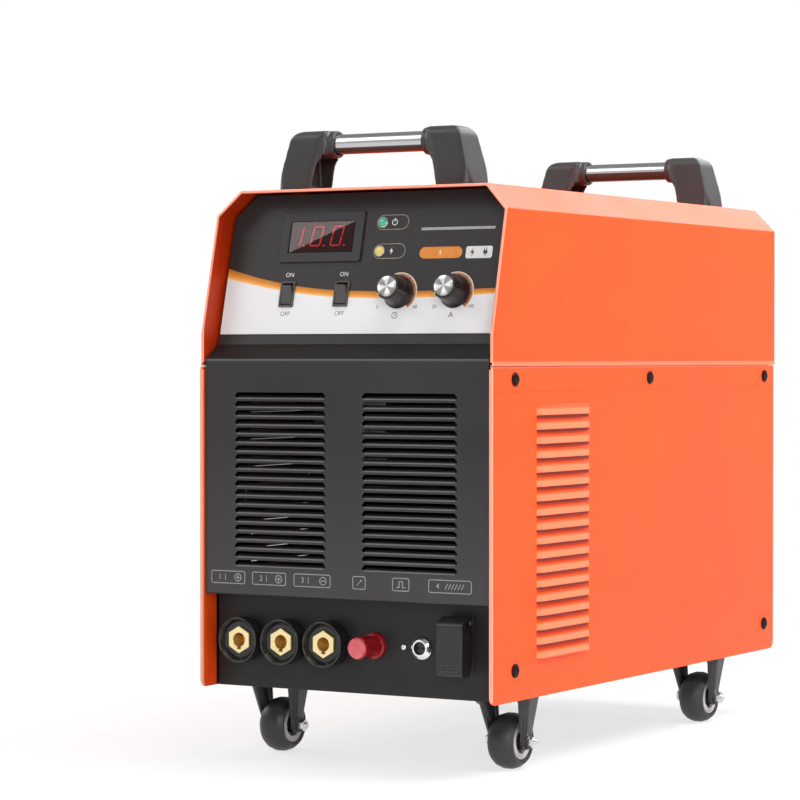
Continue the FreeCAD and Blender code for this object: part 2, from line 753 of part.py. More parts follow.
def control_holes(out1, out0):
    """Openings of the control face for the meter, the lamps, the rockers and the knob shafts."""
    holes = [control_slab(METER_ACROSS - METER_BODY_WIDE / 2 - LAP_GAP,
                          METER_ACROSS + METER_BODY_WIDE / 2 + LAP_GAP,
                          METER_UP - METER_BODY_HIGH / 2 - LAP_GAP,
                          METER_UP + METER_BODY_HIGH / 2 + LAP_GAP, out0, out1)]
    normal = control_normal()
    for up in LAMP_UP:
        holes.append(rod(on_control(LAMP_ACROSS, up, out0), normal, LAMP_RADIUS + LAP_GAP,
                         out1 - out0))
    for x in ROCKER_ACROSS:
        wide = ROCKER_WIDE / 2 - ROCKER_STEP + LAP_GAP
        high = ROCKER_HIGH / 2 - ROCKER_STEP + LAP_GAP
        holes.append(control_slab(x - wide, x + wide, ROCKER_UP - high, ROCKER_UP + high,
                                  out0, out1))
    for x in KNOB_ACROSS:
        holes.append(rod(on_control(x, KNOB_UP, out0), normal, KNOB_SHAFT + 1.2, out1 - out0))
    return holes


def make_overlay():
    top = (CABINET_HEIGHT - CONTROL_TOP_GAP - SHEET - CONTROL_FOOT) / cos(radians(CONTROL_LEAN))
    half = PANEL_HALF - OVERLAY_MARGIN
    slab = control_slab(-half, half, OVERLAY_FOOT, top - OVERLAY_MARGIN, 0, OVERLAY)
    return slab.cut(control_holes(OVERLAY + 1, -1) + beyond_chamfers(PANEL_SIDE_GAP + OVERLAY_MARGIN))


# Meter: a flush instrument with a raised rim and a smoked red window.

def make_meter():
    x = METER_ACROSS
    up = METER_UP
    rim_out = OVERLAY + METER_RIM
    rim = control_slab(x - METER_WIDE / 2, x + METER_WIDE / 2, up - METER_HIGH / 2,
                       up + METER_HIGH / 2, OVERLAY, rim_out, 1.5)
    body = control_slab(x - METER_BODY_WIDE / 2, x + METER_BODY_WIDE / 2,
                        up - METER_BODY_HIGH / 2, up + METER_BODY_HIGH / 2,
                        -METER_BODY_DEEP, OVERLAY)
    recess = control_slab(x - WINDOW_WIDE / 2, x + WINDOW_WIDE / 2, up - WINDOW_HIGH / 2,
                          up + WINDOW_HIGH / 2, OVERLAY - 2.0, rim_out + 1)
    bezel = rim.fuse(body).removeSplitter().cut(recess)
    window = control_slab(x - WINDOW_WIDE / 2 + LAP_GAP, x + WINDOW_WIDE / 2 - LAP_GAP,
                          up - WINDOW_HIGH / 2 + LAP_GAP, up + WINDOW_HIGH / 2 - LAP_GAP,
                          OVERLAY - 2.0, OVERLAY + 0.9)
    return bezel, window


def make_lamps():
    lamps = []
    for up in LAMP_UP:
        foot = on_control(LAMP_ACROSS, up, -6)
        top = 6 + OVERLAY
        profile = [(0, 0), (LAMP_RADIUS, 0), (LAMP_RADIUS, top + 0.6),
                   (LAMP_RADIUS - 1.2, top + 1.9), (0, top + 2.4)]
        lamps.append(turned(profile, foot, control_normal()))
    return group(lamps)


# Rocker switches: a snap-in frame and the paddle that tips in it.

def rocker_frame(x):
    wide = ROCKER_WIDE / 2
    high = ROCKER_HIGH / 2
    body_wide = wide - ROCKER_STEP
    body_high = high - ROCKER_STEP
    well_wide = wide - ROCKER_EDGE
    well_high = high - ROCKER_EDGE
    rim = control_slab(x - wide, x + wide, ROCKER_UP - high, ROCKER_UP + high,
                       OVERLAY, OVERLAY + ROCKER_RIM, 1.2)
    body = control_slab(x - body_wide, x + body_wide, ROCKER_UP - body_high,
                        ROCKER_UP + body_high, -ROCKER_BODY_DEEP, OVERLAY)
    well = control_slab(x - well_wide, x + well_wide, ROCKER_UP - well_high,
                        ROCKER_UP + well_high, -6, OVERLAY + 5)
    frame = rim.fuse(body).removeSplitter().cut(well)
    pin_half = (well_wide + body_wide) / 2
    pin = rod(on_control(x - pin_half, ROCKER_UP, ROCKER_PIVOT), Vec(1, 0, 0), ROCKER_PIN,
              2 * pin_half)
    return frame.fuse(pin)


def rocker_paddle(x):
    """A paddle with two faces that meet in a shallow V, tipped about the pin of its frame so that
    its upper end stands out."""
    half = ROCKER_HIGH / 2 - ROCKER_EDGE - ROCKER_END_GAP
    wide = ROCKER_WIDE / 2 - ROCKER_EDGE - ROCKER_SIDE_GAP
    points = [(-half + 1.6, ROCKER_PIVOT - 2.4), (half - 1.6, ROCKER_PIVOT - 2.4),
              (half, OVERLAY + 3.6), (0, OVERLAY + 2.0), (-half, OVERLAY + 3.6)]
    corners = [on_control(x - wide, ROCKER_UP + up, out) for up, out in points]
    paddle = Part.Face(Part.makePolygon(corners + corners[:1])).extrude(Vec(2 * wide, 0, 0))
    paddle.rotate(on_control(x, ROCKER_UP, ROCKER_PIVOT), Vec(1, 0, 0), ROCKER_TILT)
    bore = rod(on_control(x - wide - 1, ROCKER_UP, ROCKER_PIVOT), Vec(1, 0, 0),
               ROCKER_PIN + PRESS_GAP, 2 * wide + 2)
    return paddle.cut(bore)


# Knobs: a skirted plastic body with finger flutes and a turned cap, on the shaft of a control.

def make_knob(x):
    normal = control_normal()
    foot = on_control(x, KNOB_UP, OVERLAY + KNOB_GAP)
    profile = [(0, 0), (KNOB_SKIRT, 0), (KNOB_SKIRT, 1.4), (KNOB_SKIRT - 1.6, 3.2),
               (KNOB_BODY + 0.5, 4.0), (KNOB_BODY - 0.6, KNOB_HIGH - 1.2),
               (KNOB_BODY - 1.6, KNOB_HIGH), (0, KNOB_HIGH)]
    body = turned(profile, foot, normal)
    flutes = []
    side = Vec(1, 0, 0)
    up = normal.cross(side)
    for i in range(KNOB_FLUTES):
        angle = 2 * pi * i / KNOB_FLUTES
        reach = KNOB_BODY + 1.7
        centre = foot + side * (reach * cos(angle)) + up * (reach * sin(angle))
        flutes.append(rod(centre + normal * 4.4, normal, 2.6, KNOB_HIGH))
    body = body.cut(flutes)
    seat = rod(foot + normal * (KNOB_HIGH - 1.0), normal, KNOB_CAP + LAP_GAP, 3)
    bore = rod(foot - normal, normal, KNOB_SHAFT + PRESS_GAP, KNOB_HIGH - KNOB_ROOF + 1)
    body = body.cut([seat, bore])
    cap = rod(foot + normal * (KNOB_HIGH - 1.0), normal, KNOB_CAP, 1.5)
    return group([body, cap])


# Control board: a printed board on the rear of the control face, with both turning controls.

def make_control_board():
    normal = control_normal()
    face = -SHEET - BOARD_SETBACK
    reach = BOARD_SETBACK + SHEET + OVERLAY
    left, right, low, high = BOARD_EDGES
    board = control_slab(left, right, low, high, face - BOARD_THICK, face, 2.0)
    for x in KNOB_ACROSS:
        seat = on_control(x, KNOB_UP, face)
        pot = rod(seat, normal, POT_RADIUS, BOARD_SETBACK - LAP_GAP)
        neck = rod(seat, normal, KNOB_SHAFT + 1.0, reach)
        shaft = rod(seat, normal, KNOB_SHAFT, reach + KNOB_GAP + KNOB_HIGH - KNOB_ROOF - 1)
        board = board.fuse([pot, neck, shaft])
    parts = []
    for x, up, wide, long, tall in BOARD_PARTS:
        parts.append(control_slab(x - wide / 2, x + wide / 2, up - long / 2, up + long / 2,
                                  face, face + tall))
    for x in (left + BOARD_POST_IN, right - BOARD_POST_IN):
        for up in (low + BOARD_POST_IN, high - BOARD_POST_IN):
            parts.append(rod(on_control(x, up, face), normal, 3.0, BOARD_SETBACK - LAP_GAP))
    return board.fuse(parts)


# Output sockets: a moulded collar whose spigot lines the panel's hole, round a brass insert with a
# keyed bore and a hexagonal face.

def socket_collar(x):
    foot = at(x, CONNECTOR_SETBACK, CONNECTOR_LINE)
    out = Vec(0, -1, 0)
    inner = SOCKET_RADIUS - SOCKET_WALL
    hub = SOCKET_SLEEVE + PRESS_GAP
    spigot = SOCKET_SLEEVE + SOCKET_SPIGOT
    base = SOCKET_RADIUS - 1.5
    floor = SOCKET_OUT - SOCKET_RECESS
    profile = [(hub, -2 * SHEET), (spigot, -2 * SHEET), (spigot, 0), (base, 0), (base, 4.0),
               (SOCKET_RADIUS, 5.0), (SOCKET_RADIUS, SOCKET_OUT - 0.7),
               (SOCKET_RADIUS - 0.7, SOCKET_OUT), (inner, SOCKET_OUT),
               (inner - SOCKET_FLARE, floor), (hub, floor)]
    return turned(profile, foot, out)


def socket_insert(x):
    face = at(x, CONNECTOR_SETBACK, CONNECTOR_LINE)
    out = Vec(0, -1, 0)
    foot = face - out * SOCKET_DEPTH
    floor = SOCKET_OUT - SOCKET_RECESS
    nose = floor + SOCKET_HEX_HIGH
    sleeve = rod(foot, out, SOCKET_SLEEVE, SOCKET_DEPTH + floor)
    front = hexagon(face + out * floor, out, SOCKET_HEX, SOCKET_HEX_HIGH)
    rear = hexagon(foot, out, SOCKET_HEX, SOCKET_DEPTH - 2 * SHEET)
    tail = rod(foot - out * SOCKET_TAIL_LONG, out, SOCKET_TAIL, SOCKET_TAIL_LONG)
    bore = rod(face - out * SOCKET_BORE_DEEP, out, SOCKET_BORE, SOCKET_BORE_DEEP + nose + 1)
    key = block(x - KEYWAY_WIDE / 2, x + KEYWAY_WIDE / 2, CONNECTOR_SETBACK - nose - 1,
                CONNECTOR_SETBACK + SOCKET_BORE_DEEP / 2,
                CONNECTOR_LINE - SOCKET_BORE - KEYWAY_DEEP, CONNECTOR_LINE)
    return sleeve.fuse([front, rear, tail]).cut([bore, key])


# Pilot arc post: a fixed insulated stud and the red knob that clamps a lead on it.

def make_post():
    foot = at(POST_ACROSS, CONNECTOR_SETBACK, CONNECTOR_LINE)
    out = Vec(0, -1, 0)
    flange = POST_FLANGE_HIGH
    grip = POST_KNOB - 0.8
    bore = POST_STUD + LAP_GAP
    blind = POST_OUT - POST_KNOB_DEEP
    base = turned([(0, -18), (4.0, -18), (4.0, -8), (9.0, -8), (9.0, -SHEET),
                   (POST_NECK, -SHEET), (POST_NECK, 0), (POST_FLANGE, 0),
                   (POST_FLANGE, flange - 1.5), (POST_FLANGE - 1.4, flange),
                   (POST_STUD, flange), (POST_STUD, blind), (0, blind)], foot, out)
    knob = turned([(bore, flange + RACE_GAP), (grip, flange + RACE_GAP), (grip, flange + 6.0),
                   (POST_KNOB, flange + 7.0), (POST_KNOB, POST_OUT - 1.6),
                   (POST_KNOB - 1.6, POST_OUT), (0, POST_OUT), (0, blind + RACE_GAP),
                   (bore, blind + RACE_GAP)], foot, out)
    grips = []
    for i in range(POST_GRIPS):
        angle = 2 * pi * i / POST_GRIPS
        reach = POST_KNOB + 0.7
        centre = foot + Vec(reach * cos(angle), -flange - 8.5, reach * sin(angle))
        grips.append(rod(centre, out, 1.4, POST_OUT - flange - 12.0))
    return base, knob.cut(grips)


# Torch switch socket: a plated shell with a domed flange and an insulated insert with two pins.

def make_switch_socket():
    foot = at(SWITCH_SOCKET_ACROSS, CONNECTOR_SETBACK, CONNECTOR_LINE)
    out = Vec(0, -1, 0)
    deep = SWITCH_SOCKET_DEEP
    flange = SWITCH_SOCKET_FLANGE
    nose = SWITCH_SOCKET_NOSE
    bore = nose - SWITCH_SOCKET_WALL
    shell = turned([(bore, -deep), (SWITCH_SOCKET_BODY, -deep), (SWITCH_SOCKET_BODY, 0),
                    (flange, 0), (flange, 1.2), (flange - 0.9, 2.4), (nose + 0.7, 4.0),
                    (nose, SWITCH_SOCKET_OUT), (bore, SWITCH_SOCKET_OUT)], foot, out)
    core = rod(foot - out * deep, out, bore - PRESS_GAP, deep + SWITCH_SOCKET_OUT - 3.0)
    pins = []
    for dx in (-SWITCH_SOCKET_PIN_STEP, SWITCH_SOCKET_PIN_STEP):
        start = foot + Vec(dx, deep + 6.0, 0)
        pins.append(rod(start, out, SWITCH_SOCKET_PIN, deep + 6.0 + SWITCH_SOCKET_OUT - 1.0))
    return group([shell, core.fuse(pins)])


# Torch terminal and its hinged cover: a back plate with two ears, a pin, a flap that swings up
# about the pin, and the threaded brass boss behind it.

def make_terminal():
    foot = at((COVER_LEFT + COVER_RIGHT) / 2, CONNECTOR_SETBACK, CONNECTOR_LINE)
    out = Vec(0, -1, 0)
    thread = TERMINAL_THREAD
    boss = turned([(0, -TERMINAL_DEEP), (5.0, -TERMINAL_DEEP), (5.0, -10), (thread, -10),
                   (thread, TERMINAL_OUT - 1), (thread - 1, TERMINAL_OUT),
                   (TERMINAL_BORE, TERMINAL_OUT), (TERMINAL_BORE, 2.0), (0, 2.0)], foot, out)
    nut = hexagon(foot + out * (COVER_BASE + RACE_GAP), out, TERMINAL_NUT, TERMINAL_NUT_HIGH)
    return group([boss, nut.cut(rod(foot, out, thread + PRESS_GAP, TERMINAL_OUT))])


def make_cover_base():
    y1 = CONNECTOR_SETBACK
    plate = block(COVER_LEFT + 1, COVER_RIGHT - 1, y1 - COVER_BASE, y1, COVER_LOW + 2,
                  COVER_PIN_HEIGHT + 6)
    hole = rod(at((COVER_LEFT + COVER_RIGHT) / 2, y1 - COVER_BASE - 1, CONNECTOR_LINE),
               Vec(0, 1, 0), TERMINAL_THREAD + 0.6, COVER_BASE + 3)
    ears = []
    inner = COVER_WALL + COVER_EAR_GAP
    y0 = COVER_PIN_SETBACK
    z0 = COVER_PIN_HEIGHT
    knuckle = COVER_KNUCKLE
    ear = [(y1 - 1, z0 - 2 * knuckle), (y0 - knuckle, z0 - knuckle), (y0 - knuckle, z0 + knuckle),
           (y0 + knuckle, z0 + knuckle), (y0 + knuckle, z0), (y1 - 1, z0)]
    for x0 in (COVER_LEFT + inner, COVER_RIGHT - inner - COVER_EAR):
        ears.append(plate_along_x(ear, x0, x0 + COVER_EAR,
                                  [0, knuckle - 0.2, knuckle - 0.1, knuckle - 0.1, 0, 0]))
    pin_hole = rod(at(COVER_LEFT, COVER_PIN_SETBACK, COVER_PIN_HEIGHT), Vec(1, 0, 0),
                   COVER_PIN + PRESS_GAP, COVER_RIGHT - COVER_LEFT)
    return plate.fuse(ears).cut([hole, pin_hole])


def make_cover_flap():
    """A shell open to the rear: a front wall, a sloping roof that ends ahead of the pin so that it
    can swing, and two cheeks with rounded rear edges that carry the pin."""
    top = COVER_PIN_HEIGHT + COVER_ROOF
    rear = COVER_PIN_SETBACK
    brow = top - COVER_ROOF_DROP
    cheek = [(0.0, COVER_LOW + 1.5), (0.0, brow), (rear, top), (rear + 6.5, COVER_PIN_HEIGHT),
             (rear + 7.0, CONNECTOR_LINE), (rear + 1.5, COVER_LOW)]
    radii = [2.5, 6.0, 6.0, 5.0, 22.0, 6.0]
    outer = plate_along_x(cheek, COVER_LEFT, COVER_RIGHT, radii)
    slope = COVER_ROOF_DROP / rear
    drop = COVER_WALL * sqrt(1 + slope ** 2)
    roof_end = rear - COVER_PIN
    behind = CONNECTOR_SETBACK + 5
    hollow = plate_along_x([(COVER_WALL, COVER_LOW - 3), (COVER_WALL, brow + COVER_WALL * slope - drop),
                            (roof_end, brow + roof_end * slope - drop), (roof_end, top + 1),
                            (behind, top + 1), (behind, COVER_LOW - 3)],
                           COVER_LEFT + COVER_WALL, COVER_RIGHT - COVER_WALL, [0, 3.5, 0, 0, 0, 0])
    bore = rod(at(COVER_LEFT - 1, rear, COVER_PIN_HEIGHT), Vec(1, 0, 0), COVER_PIN + AXLE_GAP,
               COVER_RIGHT - COVER_LEFT + 2)
    grip = []
    for i in range(COVER_GRIPS):
        z = COVER_LOW + 5 + 2.6 * i
        grip.append(block(COVER_LEFT + 5, COVER_RIGHT - 5, -0.7, 0.5, z, z + 1.3))
    return outer.cut([hollow, bore]).fuse(grip)


def make_cover_pin():
    start = at(COVER_LEFT - 1.8, COVER_PIN_SETBACK, COVER_PIN_HEIGHT)
    length = COVER_RIGHT - COVER_LEFT + 3.6
    pin = rod(start, Vec(1, 0, 0), COVER_PIN, length)
    head = turned([(0, 0), (3.2, 0), (3.2, 0.9), (2.2, 2.2), (0, 2.4)],
                  at(COVER_RIGHT + 0.3, COVER_PIN_SETBACK, COVER_PIN_HEIGHT), Vec(1, 0, 0))
    return pin.fuse(head)


# Handles: an aluminium tube held at both ends in hollow moulded brackets.

def handle_bracket(y):
    """The right-hand bracket of a handle whose tube lies at the given distance back."""
    roof = CABINET_HEIGHT
    axis = HANDLE_AXIS
    top = roof + axis + HANDLE_COLLAR
    height = axis + HANDLE_COLLAR
    low = roof + axis - HANDLE_COLLAR
    shoulder = HANDLE_COLLAR_END + 7.0
    front = [(HANDLE_FOOT_IN, roof), (HANDLE_FOOT_OUT, roof), (HANDLE_FOOT_OUT - HANDLE_SLANT, top),
             (shoulder, top), (shoulder, low), (HANDLE_FOOT_IN - 6, low)]
    front_radii = [0, 0, 14.0, 0, 0, 11.0]
    half = HANDLE_HALF_DEPTH
    tip = half - HANDLE_TAPER
    side = [(y - half, roof), (y + half, roof), (y + tip, top), (y - tip, top)]
    slim = HANDLE_COLLAR + 1.0
    waist = HANDLE_FOOT_IN + 5
    out = HANDLE_FOOT_OUT + 1
    plan = [(shoulder - 1, y - slim), (waist, y - half - 0.1), (out, y - half - 0.1),
            (out, y + half + 0.1), (waist, y + half + 0.1), (shoulder - 1, y + slim)]
    body = plate_along_y(front, y - half - 1, y + half + 1, front_radii)
    body = body.common(plate_along_x(side, 0, out, [0, 0, 9.0, 9.0]))
    body = body.common(plate_along_z(plan, roof, top, [0, 8.0, 13.0, 13.0, 8.0, 0]))
    wall = HANDLE_WALL
    hollow = [(shoulder - 10, roof + wall), (HANDLE_FOOT_OUT - wall - 1.5, roof + wall),
              (HANDLE_FOOT_OUT - HANDLE_SLANT - wall, top - wall - 3),
              (HANDLE_FOOT_IN + 6, top - wall - 3), (HANDLE_FOOT_IN + 2, low + 3),
              (shoulder - 10, low + 3)]
    hollow_side = [(y - half + wall, roof), (y + half - wall, roof), (y + tip - wall, top),
                   (y - tip + wall, top)]
    cavity = plate_along_y(hollow, y - half - 1, y + half + 1, [0, 5.0, 9.0, 3.0, 3.0, 0])
    cavity = cavity.common(plate_along_x(hollow_side, 0, out))
    cavity = cavity.common(block(0, HANDLE_FOOT_OUT - wall - 1, y - half, y + half, roof,
                                 roof + height))
    collar = rod(at(HANDLE_COLLAR_END, y, roof + axis), Vec(1, 0, 0), HANDLE_COLLAR,
                 HANDLE_BAR_END - HANDLE_COLLAR_END + 4)
    rib = block(HANDLE_FOOT_IN + 12, HANDLE_FOOT_IN + 15, y - half + wall - 1, y + half - wall + 1,
                roof + wall, roof + axis - HANDLE_COLLAR + 4)
    bore = rod(at(HANDLE_COLLAR_END - 1, y, roof + axis), Vec(1, 0, 0), HANDLE_BAR + PRESS_GAP,
               HANDLE_BAR_END - HANDLE_COLLAR_END + 1)
    return body.cut(cavity).fuse([collar, rib]).cut(bore)


def handle_bar(y):
    wall = 2.0
    start = at(-HANDLE_BAR_END, y, CABINET_HEIGHT + HANDLE_AXIS)
    tube = rod(start, Vec(1, 0, 0), HANDLE_BAR, 2 * HANDLE_BAR_END)
    return tube.cut(rod(start, Vec(1, 0, 0), HANDLE_BAR - wall, 2 * HANDLE_BAR_END))


# Casters: a bolted plate with its race and kingpin, a pressed fork, a wheel and its bolt.

def caster_plate(x, y):
    top = TRAY_HEIGHT
    low = top - PLATE_SHEET
    race_low = CROWN_TOP + RACE_GAP
    points = [(x - PLATE_HALF_X, y - PLATE_HALF_Y), (x + PLATE_HALF_X, y - PLATE_HALF_Y),
              (x + PLATE_HALF_X, y + PLATE_HALF_Y), (x - PLATE_HALF_X, y + PLATE_HALF_Y)]
    plate = plate_along_z(points, low, top, [5.0] * 4)
    centre = at(x, y, 0)
    crown_low = CROWN_TOP - FORK_SHEET
    race = turned([(0, race_low), (RACE_LOW, race_low), (RACE_TOP, low), (0, low)], centre,
                  Vec(0, 0, 1))
    head_top = crown_low - RACE_GAP
    head_low = head_top - KINGPIN_HEAD_HIGH
    pin = turned([(0, head_low), (KINGPIN_HEAD - 2.5, head_low),
                  (KINGPIN_HEAD, (head_low + head_top) / 2), (KINGPIN_HEAD, head_top),
                  (KINGPIN, head_top), (KINGPIN, low), (0, low)], centre, Vec(0, 0, 1))
    return plate.fuse([race, pin]).removeSplitter()


def caster_fork(x, y):
    """A crown and two splayed legs of curled section that close in towards the axle."""
    low = AXLE_HEIGHT
    foot = low - FORK_LOW_DEEP

    def taper(inset, high):
        """The fork's tapering body, or the same moved in by a sheet, with rounded corners."""
        top = FORK_TOP_HALF - inset
        bottom = FORK_LOW_HALF - inset
        deep = FORK_TOP_DEEP - inset
        narrow = FORK_LOW_DEEP + FORK_CURL - inset
        front = plate_along_y([(-top, high), (top, high), (bottom, foot), (-bottom, foot)], -60, 60)
        side = plate_along_x([(-deep, high), (deep, high), (CASTER_TRAIL + narrow, foot),
                              (CASTER_TRAIL - narrow, foot)], -60, 60)
        return rounded_corners(front.common(side), Vec(0, 0, 1), FORK_CORNER - inset)

    outer = taper(0, CROWN_TOP)
    inner = taper(FORK_SHEET, CROWN_TOP - FORK_SHEET)
    window = plate_along_y([(-FORK_WINDOW_TOP, CROWN_TOP - FORK_WINDOW_DROP),
                            (FORK_WINDOW_TOP, CROWN_TOP - FORK_WINDOW_DROP),
                            (FORK_WINDOW_LOW, low), (FORK_WINDOW_LOW, foot - 1),
                            (-FORK_WINDOW_LOW, foot - 1), (-FORK_WINDOW_LOW, low)],
                           -60, 60, [6.0, 6.0, 0, 0, 0, 0])
    side = [(-FORK_TOP_DEEP - 1, CROWN_TOP + 1), (FORK_TOP_DEEP + 1, CROWN_TOP + 1),
            (CASTER_TRAIL + FORK_LOW_DEEP, foot), (CASTER_TRAIL - FORK_LOW_DEEP, foot)]
    trim = plate_along_x(side, -60, 60, [0, 0, FORK_LOW_DEEP - 0.5, FORK_LOW_DEEP - 0.5])
    fork = outer.cut([inner, window]).common(trim)
    for inside, outside in ((-FORK_BOSS_OUT, FORK_SHEET - FORK_BOSS_OUT),
                            (FORK_BOSS_OUT - FORK_SHEET, FORK_BOSS_OUT)):
        fork = fork.fuse(rod(at(inside, CASTER_TRAIL, low), Vec(1, 0, 0), FORK_BOSS,
                             outside - inside))
    pin_hole = rod(at(0, 0, 0), Vec(0, 0, 1), KINGPIN + AXLE_GAP, 20)
    bolt_hole = rod(at(-60, CASTER_TRAIL, low), Vec(1, 0, 0), AXLE + PRESS_GAP, 120)
    fork = fork.cut([pin_hole, bolt_hole])
    fork.translate(Vec(x, y, 0))
    return fork


def caster_wheel(x, y):
    centre = at(x, y + CASTER_TRAIL, AXLE_HEIGHT)
    w = WHEEL_HALF_WIDTH
    r = WHEEL_RADIUS
    axis = Vec(1, 0, 0)
    tyre = [(WHEEL_RING, -w + 1.4), (r - 5.4, -w), (r - 1.9, -w * 0.68), (r, -w * 0.24),
            (r, w * 0.24), (r - 1.9, w * 0.68), (r - 5.4, w), (WHEEL_RING, w - 1.4)]
    rim = WHEEL_RING - WHEEL_RIM
    hub = WHEEL_HUB
    bore = AXLE + AXLE_GAP
    dish = w - WHEEL_DISH
    core = [(bore, -w - 1.0), (hub, -w - 1.0), (hub, -dish), (rim, -dish), (rim, -w + 1.4),
            (WHEEL_RING, -w + 1.4), (WHEEL_RING, w - 1.4), (rim, w - 1.4), (rim, dish),
            (hub, dish), (hub, w + 1.0), (bore, w + 1.0)]
    return group([turned(tyre, centre, axis), turned(core, centre, axis)])


def caster_axle(x, y):
    centre = at(x, y + CASTER_TRAIL, AXLE_HEIGHT)
    axis = Vec(1, 0, 0)
    leg = FORK_BOSS_OUT
    end = leg + AXLE_TAIL
    bolt = turned([(0, -leg), (AXLE, -leg), (AXLE, end - 1), (AXLE - 1, end), (0, end)],
                  centre, axis)
    head = hexagon(centre - axis * (leg + AXLE_HEAD_HIGH), axis, AXLE_NUT, AXLE_HEAD_HIGH)
    nut = hexagon(centre + axis * leg, axis, AXLE_NUT, AXLE_NUT_HIGH)
    return bolt.fuse([head, nut])


# Base tray and inner shelf: folded sheets whose walls lie against the side panels.

def make_tray():
    low = TRAY_HEIGHT
    side = INNER_HALF - LAP_GAP
    y0 = CONNECTOR_SETBACK + SHEET + LAP_GAP
    y1 = REAR_FACE - SHEET - LAP_GAP
    path = [(side, low + TRAY_WALL), (side, low), (-side, low), (-side, low + TRAY_WALL)]
    points, radii = folded_outline(path, -TRAY_SHEET, 0)
    tray = plate_along_y(points, y0 + FLANGE, y1 - FLANGE, radii)
    half = PANEL_HALF - SHEET - LAP_GAP
    for near, far in ((y0, y0 + TRAY_SHEET), (y1 - TRAY_SHEET, y1)):
        tray = tray.fuse(block(-half, half, near, far, low, low + TRAY_END_WALL))
    tray = tray.fuse(block(-half, half, y0, y1, low, low + TRAY_SHEET)).removeSplitter()
    return tray.cut(side_screw_holes(SCREW_SHANK + LAP_GAP, BASE_SCREWS))


def make_shelf():
    low = SHELF_HEIGHT
    side = INNER_HALF - LAP_GAP
    path = [(side, low - SHELF_WALL), (side, low), (-side, low), (-side, low - SHELF_WALL)]
    points, radii = folded_outline(path, SHEET, BEND)
    return plate_along_y(points, SHELF_FRONT, SHELF_REAR, radii)


# Rear panel: a flanged sheet with the fan openings, and the slotted cowl that guards them.

def make_rear_panel():
    y1 = REAR_FACE
    y0 = y1 - SHEET
    half = PANEL_HALF
    top = CABINET_HEIGHT - CONTROL_TOP_GAP - SHEET
    inner = half - SHEET
    panel = block(-half, half, y0, y1, PANEL_FOOT, top)
    flanges = [block(inner, half, y1 - FLANGE, y1, PANEL_FOOT, top - COVER_CHAMFER),
               block(-half, -inner, y1 - FLANGE, y1, PANEL_FOOT, top - COVER_CHAMFER),
               block(-half + COVER_CHAMFER, half - COVER_CHAMFER, y1 - FLANGE, y1, top - SHEET, top)]
    panel = panel.fuse(flanges).removeSplitter().cut(beyond_chamfers(PANEL_SIDE_GAP))
    through = Vec(0, 1, 0)
    holes = [rod(at(x, y0 - 1, FAN_HEIGHT), through, FAN_BORE, 6)
             for x in (-FAN_ACROSS, FAN_ACROSS)]
    wide = BREAKER_WIDE / 2 + LAP_GAP
    high = BREAKER_HIGH / 2 + LAP_GAP
    holes.append(block(BREAKER_ACROSS - wide, BREAKER_ACROSS + wide, y0 - 1, y1 + 1,
                       BREAKER_HEIGHT - high, BREAKER_HEIGHT + high))
    holes.append(rod(at(GLAND_ACROSS, y0 - 1, GLAND_HEIGHT), through, GLAND_THREAD + LAP_GAP, 6))
    holes.append(rod(at(INLET_ACROSS, y0 - 1, INLET_HEIGHT), through, INLET_THREAD + LAP_GAP, 6))
    holes.append(rod(at(EARTH_ACROSS, y0 - 1, EARTH_HEIGHT), through, EARTH_STUD + LAP_GAP, 6))
    return panel.cut(holes)


def make_rear_cowl():
    """A shallow tray turned over the fans, with sloping top and ends and rows of slots."""
    y0 = REAR_FACE
    y1 = y0 + COWL_OUT
    half = COWL_HALF_WIDTH

    def taper(inset, deep):
        """The tray's outer body, or the same moved in by its sheet."""
        wide = half - inset
        low = COWL_LOW + inset
        high = COWL_HIGH - inset
        end = COWL_TAPER * deep / COWL_OUT
        plan = plate_along_z([(-wide, y0), (wide, y0), (wide - end, y0 + deep),
                              (end - wide, y0 + deep)], low, high)
        side = plate_along_x([(y0, low), (y0, high), (y0 + deep, high - end),
                              (y0 + deep, low + end)], -half, half)
        return rounded_corners(plan.common(side), Vec(0, 1, 0), COWL_CORNER - inset)

    cowl = taper(0, COWL_OUT).cut(taper(COWL_SHEET, COWL_OUT - COWL_SHEET))
    slots = []
    pitch = (COWL_HIGH - COWL_LOW - 26.0) / (COWL_ROWS - 1)
    for row in range(COWL_ROWS):
        z = COWL_LOW + 13.0 + row * pitch
        for x0, x1 in ((-half + 18, -8), (8, half - 18)):
            points = [(x0, z - COWL_SLOT / 2), (x1, z - COWL_SLOT / 2), (x1, z + COWL_SLOT / 2),
                      (x0, z + COWL_SLOT / 2)]
            slots.append(plate_along_y(points, y1 - 4, y1 + 1, [COWL_SLOT / 2 - 0.01] * 4))
    return cowl.cut(slots)


# Fans: square frames with a ducted bore, struts and a motor seat, and seven-bladed rotors.

